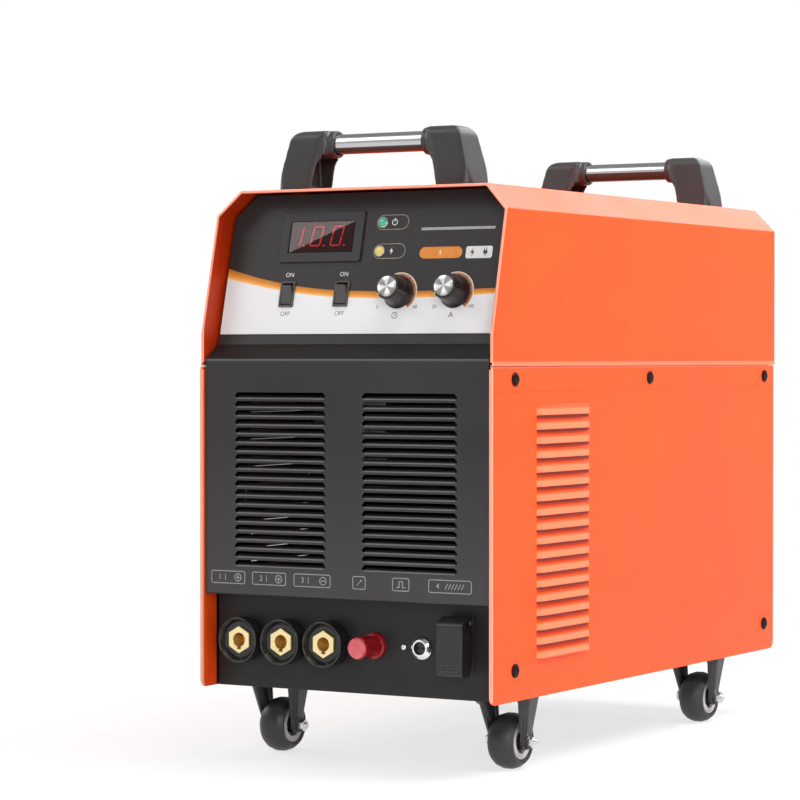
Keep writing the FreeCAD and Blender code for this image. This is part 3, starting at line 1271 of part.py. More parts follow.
def fan_frame(x):
    y1 = REAR_FACE - SHEET
    y0 = y1 - FAN_DEEP
    half = FAN_SIZE / 2
    z = FAN_HEIGHT
    outline = [(x - half, z - half), (x + half, z - half), (x + half, z + half),
               (x - half, z + half)]
    frame = plate_along_y(outline, y0, y1, [6.0] * 4)
    frame = frame.cut(rod(at(x, y0 - 1, z), Vec(0, 1, 0), FAN_BORE, FAN_DEEP + 2))
    waist = []
    for sx, sz in ((-1, 0), (1, 0), (0, -1), (0, 1)):
        across = 9.0 if sx else FAN_SIZE / 2 - 16
        along = 9.0 if sz else FAN_SIZE / 2 - 16
        cx = x + sx * (half + 6.5)
        cz = z + sz * (half + 6.5)
        waist.append(block(cx - across, cx + across, y0 + 4, y1 - 4, cz - along, cz + along))
    frame = frame.cut(waist)
    struts = [rod(at(x, y0, z), Vec(0, 1, 0), FAN_HUB + 1, FAN_SEAT)]
    for i in range(4):
        angle = pi / 4 + i * pi / 2
        bar = Part.makeBox(FAN_BORE - FAN_HUB + 2.5, FAN_SEAT, 5.0, Vec(FAN_HUB - 1, 0, -2.5))
        bar.rotate(Vec(0, 0, 0), Vec(0, 1, 0), degrees(angle))
        bar.translate(at(x, y0, z))
        struts.append(bar)
    return frame.fuse(struts)


def fan_rotor(x):
    """A cupped hub on a shaft, with blades twisted between two sections."""
    y0 = REAR_FACE - SHEET - FAN_DEEP + FAN_SEAT + RACE_GAP
    y1 = REAR_FACE - SHEET - 3.0
    z = FAN_HEIGHT
    hub = turned([(0, 0), (FAN_HUB, 0), (FAN_HUB, y1 - y0 - 2), (FAN_HUB - 2, y1 - y0),
                  (0, y1 - y0)], at(x, y0, z), Vec(0, 1, 0))
    blades = []
    tip = FAN_BORE - FAN_TIP_GAP
    middle = (y0 + y1) / 2
    for i in range(FAN_BLADES):
        wires = []
        for radius, width, pitch in ((FAN_HUB - 2.5, 24.0, 52.0), (tip, 38.0, 28.0)):
            lean = radians(pitch)
            reach = min(width / 2, (y1 - y0 - 3) / 2 / sin(lean))
            thick = 1.0
            rise = sqrt(radius ** 2 - (reach * cos(lean) + thick) ** 2)
            corners = []
            for s, t in ((-1, -1), (1, -1), (1, 1), (-1, 1)):
                dx = s * reach * cos(lean) - t * thick * sin(lean)
                dy = s * reach * sin(lean) + t * thick * cos(lean)
                corners.append(Vec(dx, dy, rise))
            wires.append(Part.makePolygon(corners + corners[:1]))
        blade = Part.makeLoft(wires, True, True)
        blade.rotate(Vec(0, 0, 0), Vec(0, 1, 0), 360.0 * i / FAN_BLADES)
        blade.translate(at(x, middle, z))
        blades.append(blade)
    return hub.fuse(blades)


# Rear fittings: the mains breaker and its lever, the cable inlet, the air inlet, the earth stud.

def make_breaker():
    y1 = REAR_FACE + BREAKER_OUT
    x = BREAKER_ACROSS
    z = BREAKER_HEIGHT
    wide = BREAKER_WIDE / 2
    high = BREAKER_HIGH / 2
    body = block(x - wide, x + wide, REAR_FACE - 58, REAR_FACE + 1, z - high, z + high)
    frame = plate_along_y([(x - wide - 3.5, z - high - 3.5), (x + wide + 3.5, z - high - 3.5),
                           (x + wide + 3.5, z + high + 3.5), (x - wide - 3.5, z + high + 3.5)],
                          REAR_FACE, REAR_FACE + 2.2, [3.0] * 4)
    nose = block(x - wide + 1, x + wide - 1, REAR_FACE, y1, z - 15, z + 15)
    slot = block(x - 13, x + 13, REAR_FACE - 10, y1 + 1, z - 12, z + 12)
    pin = rod(at(x - 14, BREAKER_PIVOT, z), Vec(1, 0, 0), BREAKER_PIN, 28)
    return body.fuse([frame, nose]).cut(slot).fuse(pin)


def make_lever():
    """The ganged toggle, shown switched off with its tip down."""
    x = BREAKER_ACROSS
    z = BREAKER_HEIGHT
    hub = rod(at(x - 11, BREAKER_PIVOT, z), Vec(1, 0, 0), 6.0, 22)
    arm = plate_along_x([(BREAKER_PIVOT, z - 4.5), (BREAKER_PIVOT + 24, z - 3.0),
                         (BREAKER_PIVOT + 24, z + 3.0), (BREAKER_PIVOT, z + 4.5)], x - 11, x + 11,
                        [0, 2.0, 2.0, 0])
    lever = hub.fuse(arm)
    lever.rotate(at(x, BREAKER_PIVOT, z), Vec(1, 0, 0), -LEVER_SWING / 2)
    return lever.cut(rod(at(x - 12, BREAKER_PIVOT, z), Vec(1, 0, 0),
                         BREAKER_PIN + AXLE_GAP, 24))


def make_gland():
    foot = at(GLAND_ACROSS, REAR_FACE, GLAND_HEIGHT)
    out = Vec(0, 1, 0)
    body = turned([(GLAND_BORE, -12), (GLAND_THREAD, -12), (GLAND_THREAD, GLAND_OUT - 3),
                   (GLAND_THREAD - 3, GLAND_OUT), (GLAND_BORE, GLAND_OUT)], foot, out)
    collar = hexagon(foot, out, 30.0, 6.0)
    cap = hexagon(foot + out * 8, out, 28.0, 9.0)
    nut = hexagon(foot - out * (SHEET + 5), out, 30.0, 5.0)
    bore = rod(foot - out * 20, out, GLAND_BORE, 60)
    return body.fuse([collar, cap, nut]).cut(bore)


def make_inlet():
    foot = at(INLET_ACROSS, REAR_FACE, INLET_HEIGHT)
    out = Vec(0, 1, 0)
    barb = INLET_BARB
    thread = INLET_THREAD
    first = 9.0
    profile = [(INLET_BORE, -14), (thread, -14), (thread, 0), (thread, 5), (barb - 1, 5),
               (barb - 1, first)]
    for i in range(3):
        y = first + i * INLET_BARB_PITCH
        profile += [(barb, y), (barb - 0.9, y + INLET_BARB_PITCH)]
    profile += [(barb - 0.9, INLET_OUT), (INLET_BORE, INLET_OUT)]
    body = turned(profile, foot, out)
    collar = hexagon(foot, out, 17.0, 5.0)
    nut = hexagon(foot - out * (SHEET + 4), out, 17.0, 4.0)
    bore = rod(foot - out * 15, out, INLET_BORE, 60)
    return body.fuse([collar, nut]).cut(bore)


def make_earth_stud():
    foot = at(EARTH_ACROSS, REAR_FACE, EARTH_HEIGHT)
    out = Vec(0, 1, 0)
    stud = rod(foot - out * 12, out, EARTH_STUD, 34)
    washer = rod(foot + out * 4, out, 2 * EARTH_STUD + 0.5, 1.6)
    nuts = [hexagon(foot + out * along, out, EARTH_NUT, high)
            for along, high in ((0, 4.0), (8.0, 6.5), (-SHEET - 5, 5.0))]
    return stud.fuse(nuts + [washer])


# Inner pieces

def make_compressor():
    """An oil-free pump on its foot plate: a motor between two finned cylinder heads."""
    x0 = COMPRESSOR_ACROSS
    y0 = COMPRESSOR_BACK
    floor = TRAY_HEIGHT + TRAY_SHEET
    axis_z = floor + MOTOR_AXIS
    wide, deep, thick = COMPRESSOR_FOOT
    foot = block(x0 - wide / 2, x0 + wide / 2, y0 - deep / 2, y0 + deep / 2, floor, floor + thick)
    half = MOTOR_LONG / 2
    neck = MOTOR_RADIUS - 14.0
    motor = turned([(0, -half), (neck, -half), (MOTOR_RADIUS, 12.0 - half),
                    (MOTOR_RADIUS, half - 12.0), (neck, half), (0, half)],
                   at(x0, y0, axis_z), Vec(0, 1, 0))
    saddle = block(x0 - 30, x0 + 30, y0 - 40, y0 + 40, floor + thick / 2, axis_z - 20)
    pump = motor.fuse([foot, saddle])
    for sign in (-1, 1):
        y = y0 + sign * CYLINDER_STEP
        crank = block(x0 - 24, x0 + 24, y - 17, y + 17, floor + thick / 2, axis_z + 24)
        barrel = rod(at(x0, y, axis_z + 20), Vec(0, 0, 1), CYLINDER_RADIUS, 40)
        fins = [rod(at(x0, y, axis_z + 30 + 7 * i), Vec(0, 0, 1), CYLINDER_FIN, 2.5)
                for i in range(CYLINDER_FINS)]
        head = block(x0 - 22, x0 + 22, y - 20, y + 20, axis_z + 56, axis_z + 66)
        pump = pump.fuse([crank, barrel, head] + fins)
    return pump


def make_transformer():
    """A ferrite power transformer: an EE core clamped round a wound bobbin."""
    x = TRANSFORMER_ACROSS
    y = TRANSFORMER_BACK
    low = SHELF_HEIGHT
    half = CORE_WIDE / 2
    deep = CORE_DEEP / 2
    core = block(x - half, x + half, y - deep, y + deep, low, low + CORE_HIGH)
    inner = CORE_MIDDLE / 2
    outer = half - CORE_LEG
    head = low + CORE_HIGH - CORE_YOKE
    windows = [block(x + x0, x + x1, y - deep - 1, y + deep + 1, low + CORE_YOKE, head)
               for x0, x1 in ((-outer, -inner), (inner, outer))]
    core = core.cut(windows)
    coil_wide = outer - 2.0
    coil_deep = deep + WINDING_OUT
    points = [(x - coil_wide, y - coil_deep), (x + coil_wide, y - coil_deep),
              (x + coil_wide, y + coil_deep), (x - coil_wide, y + coil_deep)]
    winding = plate_along_z(points, low + CORE_YOKE + 1, head - 1, [12.0] * 4)
    return core.fuse(winding)


def make_reactor():
    """A toroidal output choke laid flat, its turns shown as one ring."""
    centre = at(REACTOR_ACROSS, REACTOR_BACK, SHELF_HEIGHT)
    bore = REACTOR_BORE
    rim = REACTOR_RADIUS
    high = REACTOR_HIGH
    soft = 3.0
    return turned([(bore, soft), (bore + soft, 0), (rim - soft, 0), (rim, soft),
                   (rim, high - soft), (rim - soft, high), (bore + soft, high),
                   (bore, high - soft)], centre, Vec(0, 0, 1))


def make_heatsink():
    """A finned extrusion that carries the power modules, stood on the shelf."""
    x = HEATSINK_ACROSS
    low = SHELF_HEIGHT
    y0 = HEATSINK_FRONT
    y1 = HEATSINK_FRONT + HEATSINK_LONG
    web = HEATSINK_WEB / 2
    sink = block(x - web, x + web, y0, y1, low, low + HEATSINK_HIGH)
    fins = []
    pitch = (HEATSINK_HIGH - HEATSINK_FIN_THICK) / (HEATSINK_FINS - 1)
    for i in range(HEATSINK_FINS):
        z = low + i * pitch
        fins.append(block(x - web, x + web + HEATSINK_FIN, y0, y1, z, z + HEATSINK_FIN_THICK))
    return sink.fuse(fins).removeSplitter()


def make_inverter_board():
    """The power board stood on edge beside the heatsink, with its modules and capacitors."""
    face = HEATSINK_ACROSS - HEATSINK_WEB / 2
    near = face - POWER_BOARD_GAP
    far = near - POWER_BOARD_THICK
    low = SHELF_HEIGHT
    y0 = HEATSINK_FRONT + 6
    y1 = HEATSINK_FRONT + HEATSINK_LONG - 6
    board = block(far, near, y0, y1, low + 6, low + HEATSINK_HIGH - 4)
    pieces = []
    for i in range(POWER_MODULES):
        y = y0 + 24 + i * (y1 - y0 - 48) / (POWER_MODULES - 1)
        pieces.append(block(near, face - LAP_GAP, y - 17, y + 17, low + 24, low + 64))
        for z in (low + 32, low + 74):
            pieces.append(rod(at(near - 1.0, y, z), Vec(-1, 0, 0), CAPACITOR_RADIUS,
                              CAPACITOR_LONG))
    feet = [block(far - 12, near, y, y + 10, low, low + 12) for y in (y0 + 4, y1 - 14)]
    return board.fuse(pieces + feet)


def make_valve():
    """The gas solenoid valve: a brass body with a coil, on the tray near the front."""
    x = VALVE_ACROSS
    y = VALVE_BACK
    low = TRAY_HEIGHT + TRAY_SHEET
    wide, deep, high = VALVE_BODY
    body = block(x - wide / 2, x + wide / 2, y - deep / 2, y + deep / 2, low, low + high)
    ports = rod(at(x, y - 0.8 * deep, low + high / 2 + 1), Vec(0, 1, 0), VALVE_PORT, 1.6 * deep)
    coil_wide, coil_deep, coil_high = VALVE_COIL
    coil = block(x - coil_wide / 2, x + coil_wide / 2, y - coil_deep / 2, y + coil_deep / 2,
                 low + high, low + high + coil_high)
    cap = rod(at(x, y, low + high + coil_high - 8), Vec(0, 0, 1), 6.0, 14)
    return body.fuse([ports, coil, cap])


# Screws of the cover and the side panels, all alike, and the small one of the connector panel.

def make_screws():
    screws = []
    profile = [(0, -SCREW_LENGTH), (SCREW_SHANK, -SCREW_LENGTH), (SCREW_SHANK, 0),
               (SCREW_HEAD, 0), (SCREW_HEAD - 0.4, 1.4), (SCREW_HEAD - 2.6, SCREW_HEAD_HIGH - 0.4),
               (SCREW_HEAD - 4.4, SCREW_HEAD_HIGH), (0, SCREW_HEAD_HIGH)]
    for y, z in COVER_SCREWS + BASE_SCREWS:
        screw = turned(profile, at(HALF_WIDTH, y, z), Vec(1, 0, 0))
        screws += [screw, mirrored(screw)]
    foot = at(KEY_SCREW_ACROSS, CONNECTOR_SETBACK, CONNECTOR_LINE)
    small = [(0, -6), (KEY_SCREW, -6), (KEY_SCREW, 0), (2.7, 0), (2.3, 1.4), (0, 2.0)]
    return group(screws + [turned(small, foot, Vec(0, -1, 0))])


# Every node of the unit

def build():
    right = make_side_panel()
    front = HANDLE_FRONT
    rear = COVER_REAR - HANDLE_REAR_GAP
    bezel, window = make_meter()
    post_base, post_knob = make_post()
    nodes = {
        "base_tray": make_tray(),
        "inner_shelf": make_shelf(),
        "top_cover": make_top_cover(),
        "side_panel_right": right,
        "side_panel_left": mirrored(right),
        "front_panel": make_front_panel(),
        "control_overlay": make_overlay(),
        "meter_bezel": bezel,
        "meter_window": window,
        "indicator_lamps": make_lamps(),
        "rocker_frames": group([rocker_frame(x) for x in ROCKER_ACROSS]),
        "air_source_rocker": rocker_paddle(ROCKER_ACROSS[0]),
        "gas_test_rocker": rocker_paddle(ROCKER_ACROSS[1]),
        "delay_knob": make_knob(KNOB_ACROSS[0]),
        "current_knob": make_knob(KNOB_ACROSS[1]),
        "control_board": make_control_board(),
        "pilot_post": post_base,
        "pilot_post_knob": post_knob,
        "torch_switch_socket": make_switch_socket(),
        "torch_terminal": make_terminal(),
        "torch_cover_base": group([make_cover_base(), make_cover_pin()]),
        "torch_cover_flap": make_cover_flap(),
        "rear_panel": make_rear_panel(),
        "rear_cowl": make_rear_cowl(),
        "fan_frames": group([fan_frame(-FAN_ACROSS), fan_frame(FAN_ACROSS)]),
        "fan_rotor_left": fan_rotor(-FAN_ACROSS),
        "fan_rotor_right": fan_rotor(FAN_ACROSS),
        "mains_breaker": make_breaker(),
        "breaker_lever": make_lever(),
        "cable_gland": make_gland(),
        "air_inlet": make_inlet(),
        "earth_stud": make_earth_stud(),
        "air_compressor": make_compressor(),
        "power_transformer": make_transformer(),
        "output_reactor": make_reactor(),
        "heatsink": make_heatsink(),
        "inverter_board": make_inverter_board(),
        "gas_valve": make_valve(),
        "case_screws": make_screws(),
    }
    sockets = [SOCKET_FIRST + i * SOCKET_PITCH for i in range(3)]
    nodes["socket_collars"] = group([socket_collar(x) for x in sockets])
    nodes["socket_inserts"] = group([socket_insert(x) for x in sockets])
    for place, y in (("front", front), ("rear", rear)):
        bracket = handle_bracket(y)
        nodes[place + "_handle_bar"] = handle_bar(y)
        nodes[place + "_handle_bracket_right"] = bracket
        nodes[place + "_handle_bracket_left"] = mirrored(bracket)
    plates = []
    for end, y in (("front", CASTER_FRONT), ("rear", CASTER_REAR)):
        for hand, x in (("left", -CASTER_ACROSS), ("right", CASTER_ACROSS)):
            plates.append(caster_plate(x, y))
            spot = end + "_" + hand
            nodes["caster_fork_" + spot] = caster_fork(x, y)
            nodes["caster_wheel_" + spot] = caster_wheel(x, y)
            nodes["caster_axle_" + spot] = caster_axle(x, y)
    nodes["caster_plates"] = group(plates)
    return nodes


for node, piece in build().items():
    save(node, piece)
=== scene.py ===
import json
import math

import bmesh
import bpy
import numpy as np
from mathutils import Matrix, Vector

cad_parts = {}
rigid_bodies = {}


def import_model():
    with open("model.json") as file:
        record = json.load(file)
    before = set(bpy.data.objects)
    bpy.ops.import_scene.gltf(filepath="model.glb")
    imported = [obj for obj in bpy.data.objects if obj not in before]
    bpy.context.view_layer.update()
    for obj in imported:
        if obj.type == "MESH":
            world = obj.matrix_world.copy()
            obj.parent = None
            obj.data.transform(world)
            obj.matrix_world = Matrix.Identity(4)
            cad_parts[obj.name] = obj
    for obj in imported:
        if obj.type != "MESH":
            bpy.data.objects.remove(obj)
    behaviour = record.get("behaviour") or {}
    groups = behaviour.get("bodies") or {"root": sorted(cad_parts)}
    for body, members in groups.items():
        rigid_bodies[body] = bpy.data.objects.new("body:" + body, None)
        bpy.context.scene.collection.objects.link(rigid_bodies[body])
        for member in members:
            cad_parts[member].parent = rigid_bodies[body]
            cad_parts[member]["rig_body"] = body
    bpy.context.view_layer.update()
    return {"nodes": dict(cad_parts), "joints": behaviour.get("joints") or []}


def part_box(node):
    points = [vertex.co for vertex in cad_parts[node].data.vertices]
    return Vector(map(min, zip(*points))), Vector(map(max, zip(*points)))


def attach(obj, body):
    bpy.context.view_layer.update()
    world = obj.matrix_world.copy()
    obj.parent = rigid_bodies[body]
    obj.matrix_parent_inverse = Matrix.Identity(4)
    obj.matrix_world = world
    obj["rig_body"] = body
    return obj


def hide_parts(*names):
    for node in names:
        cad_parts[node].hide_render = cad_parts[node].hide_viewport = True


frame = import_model()
scene = bpy.context.scene
scene.view_settings.view_transform = "Standard"

# The studio: a pale floor that runs on into a white backdrop, seen through a long lens from a
# little above the middle of the unit, off its right front corner. Soft boxes hang overhead,
# behind, at both sides and beside the camera.

lens = bpy.data.cameras.new("long_lens")
lens.lens = 134.3
lens.sensor_width = 36.0
lens.clip_end = 100.0
camera = bpy.data.objects.new("photo_camera", lens)
scene.collection.objects.link(camera)
camera.location = (1.44008, -2.65883, 0.3827)
camera_aim = Vector((-0.08485, -0.0685, 0.33855))
camera.rotation_euler = (camera_aim - camera.location).to_track_quat("-Z", "Y").to_euler()
scene.camera = camera

WHITE = (1, 1, 1, 1)
FLOOR_GREY = (0.82, 0.82, 0.82, 1)
FLOOR_WHITENS = (0.35, 1.2)
NEAR_GLOW = 0.70
HORIZON_RISE = 0.25
UNIT_MIDDLE = (0.0, 0.0, 0.30)


def feed(tree, node, inputs):
    """Sets a node's inputs to plain values, or joins them to the sockets given."""
    for key, value in inputs.items():
        if isinstance(value, bpy.types.NodeSocket):
            tree.links.new(value, node.inputs[key])
        else:
            node.inputs[key].default_value = value


def add(tree, kind, inputs=None, **settings):
    """A shader node with its settings and its inputs."""
    node = tree.nodes.new(kind)
    for key, value in settings.items():
        setattr(node, key, value)
    feed(tree, node, inputs or {})
    return node


def reckon(tree, operation, *values):
    """A number worked out from plain values or sockets."""
    return add(tree, "ShaderNodeMath", dict(enumerate(values)), operation=operation).outputs[0]


def measure(tree, operation, *vectors):
    """A dot product, length or distance of vectors."""
    return add(tree, "ShaderNodeVectorMath", dict(enumerate(vectors)),
               operation=operation).outputs["Value"]


def spread(tree, value, low, high, least=0.0, most=1.0, way="LINEAR"):
    """A value carried over from one span to another and kept within it."""
    return add(tree, "ShaderNodeMapRange", {"Value": value, "From Min": low, "From Max": high,
                                            "To Min": least, "To Max": most},
               interpolation_type=way).outputs[0]


def along(tree, vector, axis):
    """One coordinate of a vector."""
    return add(tree, "ShaderNodeSeparateXYZ", {0: vector}).outputs[axis]


def mixed(tree, factor, first, second):
    """A shader that goes from the first to the second with the factor."""
    return add(tree, "ShaderNodeMixShader", {0: factor, 1: first.outputs[0],
                                             2: second.outputs[0]}).outputs[0]


def seen_directly(tree):
    """One for rays of the camera, of mirrors and through glass; nothing for light on surfaces."""
    rays = add(tree, "ShaderNodeLightPath").outputs
    either = reckon(tree, "MAXIMUM", rays["Is Camera Ray"], rays["Is Glossy Ray"])
    return reckon(tree, "MAXIMUM", either, rays["Is Transmission Ray"])


def make_backdrop(fill, overhead):
    """A white surround for the eye. Mirrors see it white round the horizon and dimmer overhead,
    and it lights the unit only at the fill."""
    world = bpy.data.worlds.new("backdrop")
    world.use_nodes = True
    tree = world.node_tree
    tree.nodes.clear()
    rise = along(tree, add(tree, "ShaderNodeTexCoord").outputs["Generated"], "Z")
    fade = spread(tree, rise, 0.0, HORIZON_RISE, 1.0, overhead, "SMOOTHSTEP")
    eye = add(tree, "ShaderNodeLightPath").outputs["Is Camera Ray"]
    level = reckon(tree, "MAXIMUM", fade, eye)
    white = add(tree, "ShaderNodeBackground", {"Color": WHITE, "Strength": level})
    dim = add(tree, "ShaderNodeBackground", {"Color": WHITE, "Strength": fill})
    add(tree, "ShaderNodeOutputWorld", {"Surface": mixed(tree, seen_directly(tree), dim, white)})
    scene.world = world


def make_floor(half):
    """A flat square; the camera sees it turn to white with the distance from the unit."""
    mesh = bpy.data.meshes.new("floor")
    corners = [(-half, -half, 0), (half, -half, 0), (half, half, 0), (-half, half, 0)]
    mesh.from_pydata(corners, [], [(0, 1, 2, 3)])
    floor = bpy.data.objects.new("floor", mesh)
    scene.collection.objects.link(floor)
    made = bpy.data.materials.new("pale_floor")
    made.use_nodes = True
    tree = made.node_tree
    tree.nodes.clear()
    away = measure(tree, "LENGTH", add(tree, "ShaderNodeTexCoord").outputs["Object"])
    far = spread(tree, away, *FLOOR_WHITENS, NEAR_GLOW, 1.0, "SMOOTHSTEP")
    matt = add(tree, "ShaderNodeBsdfDiffuse", {"Color": FLOOR_GREY})
    white = add(tree, "ShaderNodeEmission", {"Color": WHITE})
    glow = reckon(tree, "MULTIPLY", far, seen_directly(tree))
    add(tree, "ShaderNodeOutputMaterial", {"Surface": mixed(tree, glow, matt, white)})
    mesh.materials.append(made)


def soft_box(name, place, aim, wide, high, watts):
    """A rectangular lamp that faces a point."""
    lamp = bpy.data.lights.new(name, "AREA")
    lamp.shape = "RECTANGLE"
    lamp.size = wide
    lamp.size_y = high
    lamp.energy = watts
    holder = bpy.data.objects.new(name, lamp)
    holder.location = place
    holder.rotation_euler = (Vector(aim) - Vector(place)).to_track_quat("-Z", "Y").to_euler()
    scene.collection.objects.link(holder)
    return holder


make_backdrop(fill=0.32, overhead=0.30)
make_floor(half=20.0)
for name, place, wide, high, watts in (("overhead_box", (0.5, 0.0, 2.1), 1.6, 1.6, 34.0),
                                       ("right_box", (1.7, 0.5, 2.3), 1.3, 1.3, 62.0),
                                       ("rear_box", (0.0, 3.0, 1.95), 2.0, 1.5, 30.0),
                                       ("left_box", (-2.4, 0.3, 1.5), 1.5, 1.2, 24.0),
                                       ("key_box", (2.1, -3.0, 1.4), 1.6, 1.4, 43.0)):
    soft_box(name, place, UNIT_MIDDLE, wide, high, watts)


# Folded sheet steel of the cabinet. The cover and the side panels have an orange powder coat, the
# front and rear panels and the cowl a black one: both bake to a fine rippled skin with soft edges.
# The trays and caster plates behind them are zinc coated.

def new_group(name, inputs, outputs):
    """A shader group with float or vector inputs and outputs; returns it with its two ends."""
    made = bpy.data.node_groups.new(name, "ShaderNodeTree")
    kinds = {"value": "NodeSocketFloat", "vector": "NodeSocketVector"}
    for way, sockets in (("INPUT", inputs), ("OUTPUT", outputs)):
        for label, kind in sockets.items():
            made.interface.new_socket(label, in_out=way, socket_type=kinds[kind])
    return made, made.nodes.new("NodeGroupInput"), made.nodes.new("NodeGroupOutput")


def make_skin_group():
    """Fine ripples as a height from two noises, one three times the other's size, and a slow
    drift over the surface as a tone from nought to one."""
    group, start, end = new_group("rippled_skin", {"Place": "vector", "Ripples per metre": "value",
                                                   "Drifts per metre": "value"},
                                  {"Height": "value", "Tone": "value"})

    def noise(scale, detail, roughness):
        """Noise over the place, so many times a metre."""
        return add(group, "ShaderNodeTexNoise", {"Vector": start.outputs["Place"], "Scale": scale,
                                                 "Detail": detail, "Roughness": roughness}
                   ).outputs["Fac"]

    ripples = start.outputs["Ripples per metre"]
    fine = noise(ripples, 2.0, 0.5)
    broad = noise(reckon(group, "MULTIPLY", ripples, 0.33), 1.0, 0.5)
    drift = noise(start.outputs["Drifts per metre"], 3.0, 0.6)
    feed(group, end, {"Height": reckon(group, "ADD", fine, broad),
                      "Tone": spread(group, drift, 0.32, 0.68)})
    return group


def make_edge_group():
    """Outer edges as a mask: how far the normal of a rounded copy of the surface leans away from
    the plain normal. The rounded normal is put out as well."""
    group, start, end = new_group("soft_edges", {"Radius": "value"},
                                  {"Edge": "value", "Normal": "vector"})
    rounded = add(group, "ShaderNodeBevel", {"Radius": start.outputs["Radius"]},
                  samples=6).outputs[0]
    plain = add(group, "ShaderNodeNewGeometry").outputs["Normal"]
    alike = measure(group, "DOT_PRODUCT", rounded, plain)
    feed(group, end, {"Edge": spread(group, alike, 0.995, 0.85), "Normal": rounded})
    return group


skin_group = make_skin_group()
edge_group = make_edge_group()


def new_material(name, **constants):
    """A Principled material with plain values on its sockets: returns it, its tree, its shader
    and the Object coordinates."""
    made = bpy.data.materials.new(name)
    made.use_nodes = True
    tree = made.node_tree
    shader = tree.nodes["Principled BSDF"]
    for key, value in constants.items():
        shader.inputs[key.replace("_", " ").title().replace("Ior", "IOR")].default_value = value
    return made, tree, shader, add(tree, "ShaderNodeTexCoord").outputs["Object"]


def skin_of(tree, place, ripples, drifts):
    """The outputs of the rippled skin, Height and Tone."""
    return add(tree, "ShaderNodeGroup", {"Place": place, "Ripples per metre": ripples,
                                         "Drifts per metre": drifts},
               node_tree=skin_group).outputs


def bumped(tree, height, distance, strength=1.0, **base):
    """A normal that follows a height in metres; a base is the Normal it starts from."""
    return add(tree, "ShaderNodeBump", {"Height": height, "Distance": distance,
                                        "Strength": strength, **base}).outputs[0]


def blend_colours(tree, factor, first, second):
    """A colour that goes from the first to the second with the factor."""
    mix = add(tree, "ShaderNodeMix", {0: factor}, data_type="RGBA")
    for key, colour in ((6, first), (7, second)):
        feed(tree, mix, {key: (*colour, 1) if isinstance(colour, tuple) else colour})
    return mix.outputs[2]


def coated(name, deep, light, edge, rough, ripples, relief, drifts=9.0, edge_radius=0.0006,
           top_edge_highlight=None, shades=(), **constants):
    """A coat whose colour and gloss drift slowly over a rippled skin, a little paler along edges as
    a painted highlight. Relief is the height of the ripples in metres. The colour for edges that
    face upwards is a painted highlight. Each shade is a function that makes a mask from the tree
    and the place, and its colour; most of them are painted shade or painted highlight."""
    made, tree, shader, place = new_material(name, **constants)
    skin = skin_of(tree, place, ripples, drifts)
    edges = add(tree, "ShaderNodeGroup", {"Radius": edge_radius}, node_tree=edge_group).outputs
    colour = blend_colours(tree, skin["Tone"], deep, light)
    colour = blend_colours(tree, edges["Edge"], colour, edge)
    # Edges that face upwards get a painted highlight.
    if top_edge_highlight:
        upward = spread(tree, along(tree, edges["Normal"], "Z"), 0.15, 0.6)
        colour = blend_colours(tree, reckon(tree, "MULTIPLY", upward, edges["Edge"]), colour, top_edge_highlight)
    for mask, shaded in shades:
        colour = blend_colours(tree, mask(tree, place), colour, shaded)
    feed(tree, shader, {"Base Color": colour, "Roughness": spread(tree, skin["Tone"], 0, 1, *rough),
                        "Normal": bumped(tree, skin["Height"], relief, Normal=edges["Normal"])})
    return made


def smoothed(mesh, angle):
    """Shades a mesh smooth, but for edges sharper than the angle."""
    mesh.polygons.foreach_set("use_smooth", [True] * len(mesh.polygons))
    mesh.set_sharp_from_angle(angle=math.radians(angle))


def placed(name, mesh, materials, body):
    """A piece of the unit: a mesh with its materials, riding on its body."""
    for material in materials:
        mesh.materials.append(material)
    piece = bpy.data.objects.new(name, mesh)
    scene.collection.objects.link(piece)
    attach(piece, body)
    return piece


SLIVER = 0.00002


def refined(name, material, width=0.0, angle=32.0, split=None):
    """A merged copy of a CAD node that stands for it: equal corners are joined, the long edge of a
    sliver is turned, edges sharper than the angle get a round of the width, and the rest is shaded
    smooth, by the faces' areas. A split gives each face its material by the place of its middle."""
    node = frame["nodes"][name]
    work = bmesh.new()
    work.from_mesh(node.data)
    bmesh.ops.remove_doubles(work, verts=work.verts, dist=2e-6)
    longest = [max(face.edges, key=lambda edge: edge.calc_length()) for face in work.faces]
    slivers = {edge for face, edge in zip(work.faces, longest)
               if face.calc_area() < SLIVER * edge.calc_length() / 2}
    bmesh.ops.rotate_edges(work, edges=list(slivers), use_ccw=False)
    mesh = bpy.data.meshes.new(name + "_finished")
    work.to_mesh(mesh)
    work.free()
    smoothed(mesh, angle)
    if split:
        middles = np.empty(3 * len(mesh.polygons))
        mesh.polygons.foreach_get("center", middles)
        which = split(*middles.reshape(-1, 3).T).astype(np.int32)
        mesh.polygons.foreach_set("material_index", which)
    piece = placed(name + "_finished", mesh, material if isinstance(material, list) else [material],
                   node["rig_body"])
    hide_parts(name)
    if width > 0:
        bevel = piece.modifiers.new("edge_round", "BEVEL")
        bevel.width = width
        bevel.segments = 2
        bevel.limit_method = "ANGLE"
        bevel.angle_limit = math.radians(angle)
        bevel.use_clamp_overlap = False
    weigh = piece.modifiers.new("flat_faces_first", "WEIGHTED_NORMAL")
    weigh.keep_sharp = True
    weigh.weight = 80
    return piece


def refine_all(names, material, width):
    """Several CAD nodes with one finish."""
    for name in names:
        refined(name, material, width=width)


def within(tree, value, low, high, soft):
    """One between two levels, falling to nought over the soft width outside them."""
    return reckon(tree, "MULTIPLY", spread(tree, value, low - soft, low),
                  spread(tree, value, high, high + soft, 1.0, 0.0))


def band(axis, low, high, soft, share=1.0):
    """A maker of masks: a share of one between two levels along an axis."""
    def mask(tree, place):
        return reckon(tree, "MULTIPLY", within(tree, along(tree, place, axis), low, high, soft),
                      share)
    return mask


